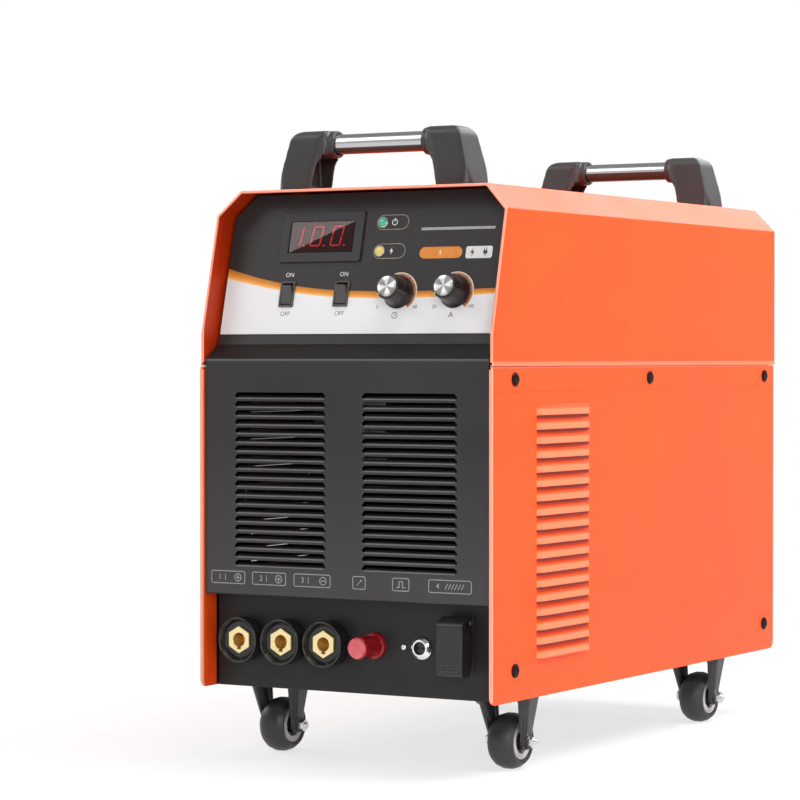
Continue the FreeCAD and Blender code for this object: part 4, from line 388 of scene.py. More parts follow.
def overlap(*makers, share=1.0):
    """A maker of masks: what several masks have in common, at a share of its strength."""
    def mask(tree, place):
        common = share
        for maker in makers:
            common = reckon(tree, "MULTIPLY", maker(tree, place), common)
        return common
    return mask


def looks_inwards(downwards=False):
    """A maker of masks: one on faces that look towards the middle of the cabinet and, if so asked,
    downwards as well."""
    def mask(tree, place):
        normal = add(tree, "ShaderNodeNewGeometry").outputs["Normal"]
        side = reckon(tree, "SIGN", along(tree, place, "X"))
        least = reckon(tree, "MULTIPLY", along(tree, normal, "X"), side)
        if downwards:
            least = reckon(tree, "MINIMUM", least, along(tree, normal, "Z"))
        return spread(tree, least, -0.2, -0.4)
    return mask


def looks_up(tree, place):
    """One on faces that look well upwards."""
    normal = add(tree, "ShaderNodeNewGeometry").outputs["Normal"]
    return within(tree, along(tree, normal, "Z"), 0.45, 1.0, 0.25)


COVER_FRONT = -0.3167
COVER_SEAM = 0.3736
LEAN_START = 0.403
LEAN_SLOPE = 33.0 / 137.0
JOINT_LINE = 0.350
HOOD_TOP = 0.339
HOOD_LIP = 0.3378
SECOND_HOOD = 0.3295
HOOD_PITCH = 0.0132
HOOD_SPAN = (-0.2322, -0.1275)
HOOD_FOOT = 0.1052
CONNECTOR_FACE = -0.2935
LOUVRE_FACE = -0.3155
LOUVRE_ROWS = (0.182, 0.352)
LOUVRE_FOOT = 0.1585
VANE_ENDS = -0.3040
FACE_PALES = (0.30, 0.17)
FACE_TOP = 0.60
CONNECTOR_TOP = 0.1560
LIP_END = -0.250
LEDGE_FOOT = 0.380
LEDGE_TOP = 0.3936
OUT_FRONT = -0.40
OUT_REAR = 0.40
SOFT_EDGE = 0.0005


def front_rim_highlight(tree, place):
    """The cut and folded edge at the very front of a panel or the cover, for a painted highlight.
    Above the start of the lean it runs back with the height."""
    above = reckon(tree, "SUBTRACT", along(tree, place, "Z"), LEAN_START)
    rise = reckon(tree, "MAXIMUM", above, 0.0)
    depth = reckon(tree, "MULTIPLY_ADD", rise, -LEAN_SLOPE, along(tree, place, "Y"))
    return reckon(tree, "MULTIPLY",
                  within(tree, depth, OUT_FRONT, COVER_FRONT + 0.0004, 0.0006), 0.65)


def hood_rows(low, high, soft, top=HOOD_LIP):
    """A maker of masks over the columns of hoods, by the share of the pitch down from each
    hood's upper edge."""
    def mask(tree, place):
        down = reckon(tree, "SUBTRACT", HOOD_TOP, along(tree, place, "Z"))
        share = reckon(tree, "FRACT", reckon(tree, "DIVIDE", down, HOOD_PITCH))
        return within(tree, share, low, high, soft)
    return overlap(mask, band("Y", *HOOD_SPAN, 0.0016), band("Z", HOOD_FOOT, top, 0.0010))


def louvre_foot(tree, place):
    """Grows down the lower half of the louvre face."""
    return spread(tree, along(tree, place, "Z"), *FACE_PALES)


# The black front: a painted highlight on the edge under each slot, painted shade on the vanes,
# # painted light that pales the foot of the louvre face, a painted highlight on the bend above it,
# # and painted shade on the sloping ledge and on the recessed panel of the connectors.
louvre_rows = band("Z", *LOUVRE_ROWS, 0.004)
lip_highlights = overlap(louvre_rows, looks_up,
               band("Y", LOUVRE_FACE - 0.001, LOUVRE_FACE + 0.0008, 0.0004))
vane_shade = overlap(louvre_rows, band("Y", LOUVRE_FACE + 0.0013, VANE_ENDS, SOFT_EDGE), share=0.85)
lower_face_light = overlap(louvre_foot, band("Z", LOUVRE_FOOT, FACE_TOP, SOFT_EDGE),
                     band("Y", LOUVRE_FACE - 0.001, LOUVRE_FACE + 0.001, SOFT_EDGE))
fold_highlight = band("Z", LEDGE_FOOT - 0.0016, LEDGE_FOOT - 0.0002, SOFT_EDGE, 0.8)
ledge_shade = band("Z", LEDGE_FOOT + 0.0006, LEDGE_TOP, SOFT_EDGE, 0.93)
connector_shade = band("Z", 0.0, CONNECTOR_TOP, 0.0010, 0.38)

# The orange sheets: painted shade on inner faces, a painted highlight on the flared bead along the
# # foot of the cover and on the panel's edge under it, and the fine pressed line below the upper
# screws.
cover_inside_shade = overlap(looks_inwards(downwards=True),
                       band("Y", COVER_FRONT + 0.0016, LIP_END, 0.0010), share=0.75)
panel_inside_shade = overlap(looks_inwards(), band("Y", CONNECTOR_FACE + 0.001, OUT_REAR, SOFT_EDGE))
seam_bead_highlight = band("Z", COVER_SEAM + 0.0004, COVER_SEAM + 0.0036, 0.0010, 0.22)
panel_top_highlight = band("Z", COVER_SEAM - 0.0016, COVER_SEAM, 0.0004, 0.45)
joint_line = band("Z", JOINT_LINE - 0.0003, JOINT_LINE + 0.0003, 0.0004, 0.5)

# The hoods, as shares of the pitch: a painted highlight on the bulge, painted shade from the hood
# # above, and painted shade in the open mouth.
hood_bulge_highlights = hood_rows(0.42, 0.72, 0.16)
hood_shades = hood_rows(-0.10, 0.14, 0.14, SECOND_HOOD)
hood_mouth_shades = hood_rows(0.83, 0.98, 0.05)

ORANGE = {"deep": (0.84, 0.066, 0.004), "light": (0.90, 0.082, 0.007), "edge": (1.0, 0.30, 0.14),
          "rough": (0.34, 0.42), "ripples": 900.0, "relief": 0.00003, "specular_ior_level": 0.22}
BLACK = {"deep": (0.0270, 0.0255, 0.0260), "light": (0.0330, 0.0310, 0.0315),
         "edge": (0.060, 0.057, 0.057), "rough": (0.42, 0.52), "ripples": 1100.0,
         "relief": 0.00003, "specular_ior_level": 0.28}
# A painted highlight for front edges, painted shade for the orange sheets and for the black front.
RIM_HIGHLIGHT = (1.0, 0.50, 0.36)
SHADE_ORANGE = (0.30, 0.012, 0.001)
SHADOW_BLACK = (0.004, 0.004, 0.004)
orange_coat = coated("orange_powder_coat", shades=((front_rim_highlight, RIM_HIGHLIGHT), (seam_bead_highlight, RIM_HIGHLIGHT),
                                                   (cover_inside_shade, SHADE_ORANGE)), **ORANGE)
lined_orange = coated("orange_coat_with_joint",
                      shades=((joint_line, (0.40, 0.03, 0.004)), (front_rim_highlight, RIM_HIGHLIGHT),
                              (panel_top_highlight, RIM_HIGHLIGHT), (hood_bulge_highlights, (0.96, 0.200, 0.094)),
                              (hood_shades, (0.54, 0.040, 0.004)), (hood_mouth_shades, SHADE_ORANGE),
                              (panel_inside_shade, (0.020, 0.014, 0.012))), **ORANGE)
black_coat = coated("black_powder_coat", **BLACK)
# The front's coat: a painted highlight on its upward edges, with the painted shade and highlights
# made above.
front_black = coated("black_coat_of_the_front", top_edge_highlight=(0.19, 0.18, 0.185),
                     shades=((lower_face_light, (0.050, 0.047, 0.049)), (vane_shade, SHADOW_BLACK),
                             (lip_highlights, (0.17, 0.165, 0.165)), (fold_highlight, (0.10, 0.097, 0.10)),
                             (ledge_shade, SHADOW_BLACK), (connector_shade, SHADOW_BLACK)), **BLACK)
zinc = coated("zinc_coat", (0.42, 0.42, 0.43), (0.58, 0.58, 0.57), (0.66, 0.66, 0.66),
              (0.30, 0.48), 300.0, 0.00001, drifts=60.0, metallic=1.0)

refined("top_cover", orange_coat, width=0.0004)
refine_all(("side_panel_left", "side_panel_right"), lined_orange, 0.0)
refined("front_panel", front_black, width=0.00025)
refine_all(("rear_panel", "rear_cowl"), black_coat, 0.0003)
refine_all(("base_tray", "inner_shelf", "caster_plates"), zinc, 0.0002)


# The control film: a printed polycarbonate sheet glued to the leaning face. Its print is a dark
# field over a pale one with an orange band swooping between them; marks, scales and numbers are
# screened on top in thin ink.

FILM_THICK = 0.0006
INK_THICK = 0.00006
KNOB_UP = 0.0405
joints = {joint["name"]: joint for joint in frame["joints"]}
face_out = Vector(joints["current_knob_turn"]["axis"]).normalized()
face_right = Vector((1.0, 0.0, 0.0))
face_up = face_out.cross(face_right)
knob_seat = Vector(joints["current_knob_turn"]["pos_m"])
face_foot = knob_seat - face_right * knob_seat.x - face_up * KNOB_UP


def on_face(x, up, out=0.0):
    """A point of the control face given across, up the slope and out from the sheet."""
    return face_foot + face_right * x + face_up * up + face_out * out


def plane_at(origin, right, up):
    """The matrix that lays flat art on a plane: its x runs right, its y up, its z out."""
    out = right.cross(up)
    return Matrix.Translation(origin) @ Matrix((right, up, out)).transposed().to_4x4()


def film_plane(rise):
    """The plane of the control face at a height over the film."""
    return plane_at(on_face(0.0, 0.0, FILM_THICK + rise), face_right, face_up)


def away_from(tree, place, origin):
    """The way from a point to the place."""
    return add(tree, "ShaderNodeVectorMath", {0: place, 1: tuple(origin)},
               operation="SUBTRACT").outputs[0]


def read_off(tree, factor, *stops):
    """A colour read off a ramp: its two ends come first, each with its place on the ramp."""
    node = add(tree, "ShaderNodeValToRGB", {"Fac": factor})
    elements = node.color_ramp.elements
    for number, (where, colour) in enumerate(stops):
        stop = elements[number] if number < 2 else elements.new(where)
        stop.position = where
        stop.color = (*colour, 1)
    return node.outputs["Color"]


def make_film_print():
    """Fields by height up the slope against two curves over the width: above the upper one dark,
    between them orange that pales downwards, below the lower one pale."""
    made, tree, shader, place = new_material("control_film_print", specular_ior_level=0.3)
    slope = measure(tree, "DOT_PRODUCT", away_from(tree, place, face_foot), tuple(face_up))
    reach = 0.16
    tall = 0.10
    share = spread(tree, along(tree, place, "X"), -reach, reach)

    def edge_line(*points):
        """The height of a curve that passes through points given across and up, ends first."""
        node = add(tree, "ShaderNodeFloatCurve", {"Value": share})
        curve = node.mapping.curves[0]
        for number, (x, up) in enumerate(points):
            at = ((x + reach) / (2 * reach), up / tall)
            if number < 2:
                curve.points[number].location = at
            else:
                curve.points.new(*at)
        node.mapping.update()
        return reckon(tree, "MULTIPLY", node.outputs[0], tall)

    upper = edge_line((-0.157, 0.0675), (0.157, 0.0443), (-0.092, 0.0514), (-0.045, 0.0449),
                      (0.002, 0.0424), (0.060, 0.0418), (0.110, 0.0430))
    lower = edge_line((-0.157, 0.0578), (0.157, 0.0395), (-0.092, 0.0444), (-0.045, 0.0382),
                      (0.002, 0.0357), (0.060, 0.0355), (0.110, 0.0370))
    orange = read_off(tree, spread(tree, slope, lower, upper), (0.06, (0.95, 0.47, 0.13)),
                      (0.95, (0.50, 0.17, 0.022)), (0.45, (0.72, 0.27, 0.03)))
    colour = blend_colours(tree, reckon(tree, "GREATER_THAN", slope, upper), orange,
                           (0.029, 0.0265, 0.0270))
    colour = blend_colours(tree, reckon(tree, "LESS_THAN", slope, lower), colour,
                           (0.78, 0.77, 0.78))
    skin = skin_of(tree, place, 2500.0, 14.0)
    feed(tree, shader, {"Base Color": colour,
                        "Roughness": spread(tree, skin["Tone"], 0, 1, 0.32, 0.40),
                        "Normal": bumped(tree, skin["Height"], 0.000008)})
    return made


film_slots = frame["nodes"]["control_overlay"].data.materials
film_slots.clear()
film_slots.append(make_film_print())


def rounded_box(x, y, wide, high, radius):
    """A loop round a box about its middle, with quarter circles at the corners."""
    angle = np.linspace(0, np.pi / 2, 6)
    corner = np.stack((np.cos(angle), np.sin(angle)), 1) * radius
    half = np.array((wide / 2 - radius, high / 2 - radius))
    loops = []
    for quarter, (sx, sy) in enumerate(((1, 1), (-1, 1), (-1, -1), (1, -1))):
        turn = quarter * np.pi / 2
        spin = np.array(((np.cos(turn), np.sin(turn)), (-np.sin(turn), np.cos(turn))))
        loops.append(corner @ spin + half * (sx, sy))
    return np.concatenate(loops) + (x, y)


def circle(x, y, radius, steps=28):
    """A loop of points round a circle."""
    angle = np.arange(steps) * 2 * np.pi / steps
    return np.stack((np.cos(angle), np.sin(angle)), 1) * radius + (x, y)


def bar(x0, y0, x1, y1, wide):
    """A loop round a straight stroke between two points."""
    run = np.array((x1 - x0, y1 - y0))
    side = np.array((-run[1], run[0])) / np.linalg.norm(run) * wide / 2
    start = np.array((x0, y0))
    return np.stack((start - side, start + run - side, start + run + side, start + side))


def strokes(x, y, size, line, *ends):
    """Bars between pairs of points, with all measures as shares of a sign's size."""
    return [bar(x + size * x0, y + size * y0, x + size * x1, y + size * y1, size * line)
            for x0, y0, x1, y1 in ends]


def framed_box(x, y, wide, high, radius, line):
    """Two loops: the outer and inner edge of a printed frame."""
    return [rounded_box(x, y, wide, high, radius),
            rounded_box(x, y, wide - 2 * line, high - 2 * line, max(radius - line, 0.0001))]


def ring(x, y, radius, line):
    """Two loops: the outer and inner edge of a printed circle."""
    return [circle(x, y, radius), circle(x, y, radius - line)]


def made_mesh(curve):
    """The mesh of a curve or a text, with its holder removed."""
    holder = bpy.data.objects.new("holder", curve)
    scene.collection.objects.link(holder)
    bpy.context.view_layer.update()
    evaluated = holder.evaluated_get(bpy.context.evaluated_depsgraph_get())
    mesh = bpy.data.meshes.new_from_object(evaluated)
    bpy.data.objects.remove(holder)
    return mesh


def filled(loops, thick=INK_THICK):
    """Flat closed loops filled between as a mesh with a thickness, half of it on each side."""
    curve = bpy.data.curves.new("outline", "CURVE")
    curve.dimensions = "2D"
    curve.fill_mode = "BOTH"
    curve.extrude = thick / 2
    for loop in loops:
        spline = curve.splines.new("POLY")
        spline.points.add(len(loop) - 1)
        flat = np.ones((len(loop), 4))
        flat[:, :2] = loop
        flat[:, 2] = 0
        spline.points.foreach_set("co", flat.ravel())
        spline.use_cyclic_u = True
    return made_mesh(curve)


def marks(loops, thick=INK_THICK):
    """Every loop as a mesh of its own, for solid marks that lie side by side."""
    return [filled([loop], thick) for loop in loops]


def lettered(text, x, y, size):
    """Numbers or signs of the plain font, centred on a point, as a mesh of the ink's thickness."""
    curve = bpy.data.curves.new("figures", "FONT")
    curve.body = text
    curve.size = size
    curve.align_x = "CENTER"
    curve.align_y = "CENTER"
    curve.extrude = INK_THICK / 2
    curve.resolution_u = 3
    mesh = made_mesh(curve)
    mesh.transform(Matrix.Translation((x, y, 0)))
    return mesh


def joined(name, meshes, material, body, plane=Matrix(), nearest=1e-7, angle=0.0):
    """Meshes joined in one piece and laid on a plane: equal corners merged, faces outwards, and
    shaded smooth up to an angle if there is one."""
    work = bmesh.new()
    for mesh in meshes:
        work.from_mesh(mesh)
    bmesh.ops.transform(work, matrix=plane, verts=work.verts)
    bmesh.ops.remove_doubles(work, verts=work.verts, dist=nearest)
    bmesh.ops.recalc_face_normals(work, faces=work.faces)
    mesh = bpy.data.meshes.new(name)
    work.to_mesh(mesh)
    work.free()
    if angle > 0:
        smoothed(mesh, angle)
    return placed(name, mesh, [material], body)


def printed(name, meshes, plane, material):
    """Flat art on a plane of the case."""
    return joined(name, meshes, material, "case", plane)


def tinted(name, deep, light, ripples, drifts, relief=0.0, glows=False, **constants):
    """Plastic, acrylic or ink whose colour drifts between two tones. It can have a rippled skin
    with a height in metres, and can glow in its own colour."""
    made, tree, shader, place = new_material(name, **constants)
    skin = skin_of(tree, place, ripples, drifts)
    colour = blend_colours(tree, skin["Tone"], deep, light)
    feed(tree, shader, {"Base Color": colour})
    if glows:
        feed(tree, shader, {"Emission Color": colour})
    if relief > 0:
        feed(tree, shader, {"Normal": bumped(tree, skin["Height"], relief)})
    return made


def plain_ink(name, deep, light, roughness=0.42):
    """Screened ink: flat, with a slight drift in its cover."""
    return tinted(name, deep, light, 4000.0, 120.0, roughness=roughness)


def fork_sign(x, y, size):
    """A two-pin plug."""
    return [rounded_box(x, y, size * 0.5, size * 0.42, size * 0.12),
            *strokes(x, y, size, 0.09, (-0.13, 0.2, -0.13, 0.48), (0.13, 0.2, 0.13, 0.48),
                     (0, -0.5, 0, -0.2))]


def bolt_sign(x, y, size):
    """A lightning stroke for output current."""
    return [np.array(((0.08, 0.5), (-0.26, -0.06), (-0.02, -0.06), (-0.10, -0.5), (0.26, 0.10),
                      (0.02, 0.10))) * size + (x, y)]


# each box: across, up, wide, high and the radius of its corners
MODE_BOX = (0.1197, 0.0779, 0.0277, 0.0115, 0.0022)
TITLE_BAR = (0.0947, 0.1012, 0.0779, 0.0026, 0.0003)
PILL = (0.0794, 0.0782, 0.0451, 0.0110, 0.0054)
LAMP_ACROSS = 0.0138
LAMP_UPS = (0.0806, 0.1085)
CAPSULE_ACROSS = 0.0241
CAPSULE_WIDE = 0.0343
CAPSULE_HIGH = 0.0144
CAPSULE_LINE = 0.0005
BEZEL_LINE = (-0.0970, 0.0715, -0.0970, 0.1190, 0.0006)
LAMP_SIGN = 0.0262
ROCKER_ACROSS = (-0.082, -0.022)
ON_UP = 0.0589
OFF_UP = 0.0209
WORD_SIZE = 0.0060
KNOB_ACROSS = (0.0400, 0.0998)
DIAL_FIGURES = ((0.0188, "0"), (0.0590, "60"), (0.0795, "20"), (0.1174, "100"))
FIGURES_UP = 0.0268
FIGURE_SIZE = 0.0048
UNITS_UP = 0.0189

# each sign: across, up and its size
FAULT_BOLT = (LAMP_SIGN, LAMP_UPS[0], 0.0074)
MODE_BOLT = (0.1127, 0.0779, 0.0084)
MODE_FORK = (0.1262, 0.0779, 0.0086)
PILL_BOLT = (0.0790, 0.0782, 0.0076)
CLOCK = (KNOB_ACROSS[0] - 0.0016, UNITS_UP, 0.0064)
AMPERES = (KNOB_ACROSS[1] - 0.0019, UNITS_UP, 0.0076)
POWER_RING = 0.0031
POWER_STEM = (0.0005, 0.0042)
POWER_LINE = 0.0008

white_ink = plain_ink("white_ink", (0.66, 0.66, 0.66), (0.76, 0.76, 0.76))
dark_ink = plain_ink("dark_ink", (0.028, 0.026, 0.027), (0.04, 0.037, 0.038))
fault_up, power_up = LAMP_UPS
face_plane = film_plane(0.0)
sign_plane = film_plane(INK_THICK * 0.8)

white_art = marks([bar(LAMP_SIGN, power_up + POWER_STEM[0], LAMP_SIGN, power_up + POWER_STEM[1],
                       POWER_LINE)])
white_art.append(filled(ring(LAMP_SIGN, power_up, POWER_RING, POWER_LINE)))
white_art += marks([*bolt_sign(*FAULT_BOLT), rounded_box(*MODE_BOX)])
white_art += [lettered("ON", x, ON_UP, WORD_SIZE) for x in ROCKER_ACROSS]
printed("face_print_white", white_art, face_plane, white_ink)

tan_art = [filled(framed_box(CAPSULE_ACROSS, up, CAPSULE_WIDE, CAPSULE_HIGH,
                             CAPSULE_HIGH / 2 - 0.0001, CAPSULE_LINE)) for up in LAMP_UPS]
printed("face_print_tan", tan_art + marks([bar(*BEZEL_LINE)]), face_plane,
        plain_ink("tan_ink", (0.34, 0.28, 0.20), (0.46, 0.39, 0.29)))
printed("face_print_grey", marks([rounded_box(*TITLE_BAR)]), face_plane,
        plain_ink("grey_ink", (0.34, 0.33, 0.34), (0.42, 0.41, 0.42)))
printed("face_print_orange", marks([rounded_box(*PILL)]), face_plane,
        plain_ink("orange_ink", (0.66, 0.21, 0.02), (0.78, 0.27, 0.03)))
printed("face_signs_dark", marks(bolt_sign(*MODE_BOLT) + fork_sign(*MODE_FORK)), sign_plane,
        dark_ink)
printed("face_signs_pale", marks(bolt_sign(*PILL_BOLT)), sign_plane,
        plain_ink("pale_orange_ink", (0.86, 0.50, 0.24), (0.92, 0.58, 0.30)))

dark_art = [lettered("OFF", x, OFF_UP, WORD_SIZE) for x in ROCKER_ACROSS]
dark_art += [lettered(figure, x, FIGURES_UP, FIGURE_SIZE) for x, figure in DIAL_FIGURES]
dark_art.append(filled(ring(*CLOCK[:2], CLOCK[2] / 2, CLOCK[2] * 0.10)))
dark_art += marks(strokes(*CLOCK, 0.10, (0, 0, 0, 0.3), (0, 0, 0.24, 0)))
dark_art.append(lettered("A", *AMPERES))
printed("face_print_dark", dark_art, face_plane, dark_ink)


# The panel meter: a moulded bezel snapped into the face, a smoked window set in it, and behind the
# window a dark plate with three lit digits of seven segments each, leaning like the real ones. A
# lamp card stands where the window mirrors it, its edge aslant from corner to corner.

def make_moulding(name, deep, light, rough, ripples=1600.0, relief=0.00002, edge=(0.10, 0.10, 0.10)):
    """Moulded plastic with a spark-eroded grain and slightly paler edges, a painted highlight."""
    return coated(name, deep, light, edge, rough, ripples, relief, drifts=40.0, edge_radius=0.0004)


matt_black = make_moulding("matt_black_plastic", (0.016, 0.0155, 0.016), (0.024, 0.023, 0.024),
                           (0.42, 0.52))
gloss_black = make_moulding("gloss_black_plastic", (0.010, 0.0095, 0.010), (0.014, 0.0135, 0.014),
                            (0.16, 0.24), relief=0.000004)
refined("meter_bezel", matt_black, width=0.0004)

WINDOW_WIDE = 0.0718
WINDOW_HIGH = 0.0308
WINDOW_MIDDLE = (-0.0512, 0.0955)
GLASS_THICK = 0.0008
GLASS_RISE = 0.0005
PLATE_THICK = 0.0005
PLATE_DEEP = 0.0017
DIGIT_HIGH = 0.0185
DIGIT_WIDE = 0.0105
DIGIT_PITCH = 0.0222
DIGIT_SHIFT = (-0.0069, 0.0014)
DIGIT_LEAN = 0.16
DIGIT_THICK = 0.0003
DIGIT_DEEP = 0.0012
SEGMENT = 0.0013
SEGMENT_GAP = SEGMENT * 0.42
POINT_RADIUS = 0.0009
POINT_AWAY = 0.0034
ONE = ("right_up", "right_low")
ZERO = ("top", "bottom", "left_up", "left_low", "right_up", "right_low")
SLANT = math.radians(23)
CARD_AWAY = 2.4
CARD_SIDE = 1.5
CARD_WATTS = 17.0


def digit_loops(lit, x, y):
    """The lit segments of one digit as loops: strokes of the box round its middle, leaning."""
    w = DIGIT_WIDE / 2
    h = DIGIT_HIGH / 2
    gap = SEGMENT_GAP
    lines = {"top": (-w + gap, h, w - gap, h), "bottom": (-w + gap, -h, w - gap, -h),
             "left_up": (-w, gap, -w, h - gap), "left_low": (-w, gap - h, -w, -gap),
             "right_up": (w, gap, w, h - gap), "right_low": (w, gap - h, w, -gap)}
    loops = []
    for name in lit:
        loop = bar(*lines[name], SEGMENT)
        loop[:, 0] += loop[:, 1] * DIGIT_LEAN
        loops.append(loop + (x, y))
    return loops


on_meter = on_face(*WINDOW_MIDDLE)
mirror_way = (camera.location - on_meter).normalized()
mirror_way = face_out * (2 * face_out.dot(mirror_way)) - mirror_way
card_edge = face_right * math.cos(SLANT) + face_up * math.sin(SLANT)
card_edge = (card_edge - mirror_way * card_edge.dot(mirror_way)).normalized()
card_rise = mirror_way.cross(card_edge)
card_place = on_meter + mirror_way * CARD_AWAY + card_rise * CARD_SIDE / 2
card = soft_box("slant_card", card_place, card_place - mirror_way, CARD_SIDE, CARD_SIDE, CARD_WATTS)
card.rotation_euler = Matrix((card_edge, card_rise, mirror_way)).transposed().to_euler()

pane = rounded_box(*WINDOW_MIDDLE, WINDOW_WIDE, WINDOW_HIGH, 0.0006)
window = printed("meter_glass", marks([pane], GLASS_THICK), film_plane(GLASS_RISE),
                 tinted("smoked_window", (0.42, 0.20, 0.20), (0.50, 0.24, 0.24), 60.0, 30.0,
                        0.0000006, roughness=0.004, ior=1.49, transmission_weight=1.0))
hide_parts("meter_window")
printed("meter_back_plate", marks([pane], PLATE_THICK), film_plane(-PLATE_DEEP),
        plain_ink("back_plate", (0.050, 0.0015, 0.005), (0.075, 0.002, 0.007)))
digits = []
for number, lit in enumerate((ONE, ZERO, ZERO)):
    x = WINDOW_MIDDLE[0] + (number - 1) * DIGIT_PITCH + DIGIT_SHIFT[0]
    up = WINDOW_MIDDLE[1] + DIGIT_SHIFT[1]
    point = circle(x + DIGIT_WIDE / 2 + POINT_AWAY, up - DIGIT_HIGH / 2, POINT_RADIUS, 16)
    digits += marks([*digit_loops(lit, x, up), point], DIGIT_THICK)
printed("meter_digits", digits, film_plane(-DIGIT_DEEP),
        tinted("red_segments", (0.78, 0.045, 0.085), (0.92, 0.080, 0.13), 900.0, 200.0,
               glows=True, roughness=0.35, emission_strength=1.1))


# Indicator lamps: small clear lenses with a faceted dome, green for power and yellow for a fault,
# each held by a thin bright ring.

def full_turn(steps):
    """Even angles once round."""
    return np.arange(steps) * 2 * np.pi / steps


def turned(radius, rise, centre, axis, steps):
    """Points of a turned surface, one row per row of the radius and the rise: centre + axis * rise
    + radius * (cos(angle) * side + sin(angle) * up), the angle going once round."""
    axis = Vector(axis).normalized()
    side = face_right if abs(axis.x) < 0.5 else Vector((0.0, 1.0, 0.0))
    side = (side - axis * side.dot(axis)).normalized()
    angle = full_turn(steps)[:, None]
    spoke = np.cos(angle) * np.array(side) + np.sin(angle) * np.array(axis.cross(side))
    return np.array(centre) + rise[..., None] * np.array(axis) + radius[..., None] * spoke


def around(profile, centre, axis, steps):
    """A turned surface from a profile, one row per point with its radius and its rise."""
    rows = np.asarray(profile, float)
    return turned(rows[:, :1], rows[:, 1:2], centre, axis, steps)


def surface(name, points, material, body, angle=35.0, replaces=()):
    """A mesh from a grid of points, closed round its columns; rows that shrink to one point become
    poles. Faces point outwards and the shading is smooth up to the angle."""
    rows, columns = points.shape[:2]
    index = np.arange(rows * columns).reshape(rows, columns)
    right = np.roll(index, -1, 1)
    quads = np.stack((index[:-1], right[:-1], right[1:], index[1:]), -1).reshape(-1, 4)
    mesh = bpy.data.meshes.new(name)
    mesh.from_pydata(points.reshape(-1, 3).tolist(), [], quads.tolist())
    piece = joined(name, [mesh], material, body, nearest=1e-6, angle=angle)
    if replaces:
        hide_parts(*replaces)


def make_lens(name, deep, light):
    """Tinted clear plastic over a lit diode."""
    return tinted(name, deep, light, 500.0, 420.0, glows=True, roughness=0.12, coat_weight=0.6,
                  emission_strength=0.25)


LENS_RADIUS = 0.0044
LENS_STEPS = 32
lens_profile = [(0, 0), (LENS_RADIUS, 0), (LENS_RADIUS, 0.0009), (LENS_RADIUS * 0.86, 0.0018),
                (LENS_RADIUS * 0.55, 0.0024), (0, 0.0026)]
rim_profile = [(LENS_RADIUS, 0), (LENS_RADIUS + 0.0009, 0), (LENS_RADIUS + 0.0009, 0.0007),
               (LENS_RADIUS + 0.0004, 0.0012), (LENS_RADIUS, 0.0012), (LENS_RADIUS, 0)]
green_lens = make_lens("green_lens", (0.02, 0.30, 0.17), (0.06, 0.45, 0.28))
yellow_lens = make_lens("yellow_lens", (0.52, 0.40, 0.06), (0.75, 0.62, 0.16))
bright_ring = coated("nickel_ring", (0.55, 0.53, 0.50), (0.70, 0.68, 0.64), (0.8, 0.8, 0.78),
                     (0.22, 0.34), ripples=900.0, relief=0.000004, metallic=1.0)
for name, up, tint in (("fault_lamp", fault_up, yellow_lens), ("power_lamp", power_up, green_lens)):
    seat = on_face(LAMP_ACROSS, up, FILM_THICK)
    surface(name, around(lens_profile, seat, face_out, LENS_STEPS), tint, "case",
            replaces=("indicator_lamps",))
    surface(name + "_ring", around(rim_profile, seat, face_out, LENS_STEPS), bright_ring, "case")


# Rocker switches: satin moulded frames snapped into the face with a paddle each, and over the
# right half of the face two printed scales, crescents of tan ink with dots, for the knobs.

rocker_satin = make_moulding("satin_rocker_plastic", (0.056, 0.050, 0.047), (0.068, 0.061, 0.057),
                             (0.26, 0.34), relief=0.000008, edge=(0.15, 0.14, 0.13))
refine_all(("rocker_frames", "air_source_rocker", "gas_test_rocker"), rocker_satin, 0.0004)

SCALE_OUTER = 0.0193
SCALE_INNER = 0.0138
SCALE_SPAN = np.radians((112, -52))
SCALE_TIP = 0.0003
SCALE_WIDENS = 0.36
SCALE_CURVE = 0.8
SCALE_STEPS = 40
DOT_RING = 0.0166
DOT_RADIUS = 0.00075
DOT_TURNS = np.radians((114, 84, 54, 24, -6, -36))


def crescent(x, y):
    """A loop that widens clockwise: the outer arc keeps its radius, the inner one falls from it
    to the inner radius over the first third of the turn."""
    turn = np.linspace(*SCALE_SPAN, SCALE_STEPS)
    share = np.minimum(np.linspace(0, 1, SCALE_STEPS) / SCALE_WIDENS, 1)
    inner = SCALE_OUTER - SCALE_TIP - (SCALE_OUTER - SCALE_INNER) * share ** SCALE_CURVE
    way = np.stack((np.cos(turn), np.sin(turn)), 1)
    return np.concatenate((way * SCALE_OUTER, (way * inner[:, None])[::-1])) + (x, y)


def make_scale_ink():
    """Tan ink that darkens from the outer rim towards the knob."""
    made, tree, shader, place = new_material("scale_ink", roughness=0.42)
    away = [measure(tree, "DISTANCE", place, tuple(on_face(x, KNOB_UP, FILM_THICK)))
            for x in KNOB_ACROSS]
    share = spread(tree, reckon(tree, "MINIMUM", *away), SCALE_INNER, SCALE_OUTER)
    feed(tree, shader, {"Base Color": read_off(tree, share, (0.0, (0.11, 0.028, 0.012)),
                                               (0.95, (0.86, 0.70, 0.56)),
                                               (0.72, (0.42, 0.19, 0.09)))})
    return made


printed("dial_scales", marks([crescent(x, KNOB_UP) for x in KNOB_ACROSS]), face_plane,
        make_scale_ink())
printed("dial_dots", marks([circle(x + DOT_RING * math.cos(turn),
                                   KNOB_UP + DOT_RING * math.sin(turn), DOT_RADIUS, 14)
                            for x in KNOB_ACROSS for turn in DOT_TURNS]), sign_plane, dark_ink)


# The two turning knobs. Each is a dark moulded body with shallow finger flutes on a flared gloss
# skirt, with a spun aluminium cap pressed into its end and a cream pointer line down one side.

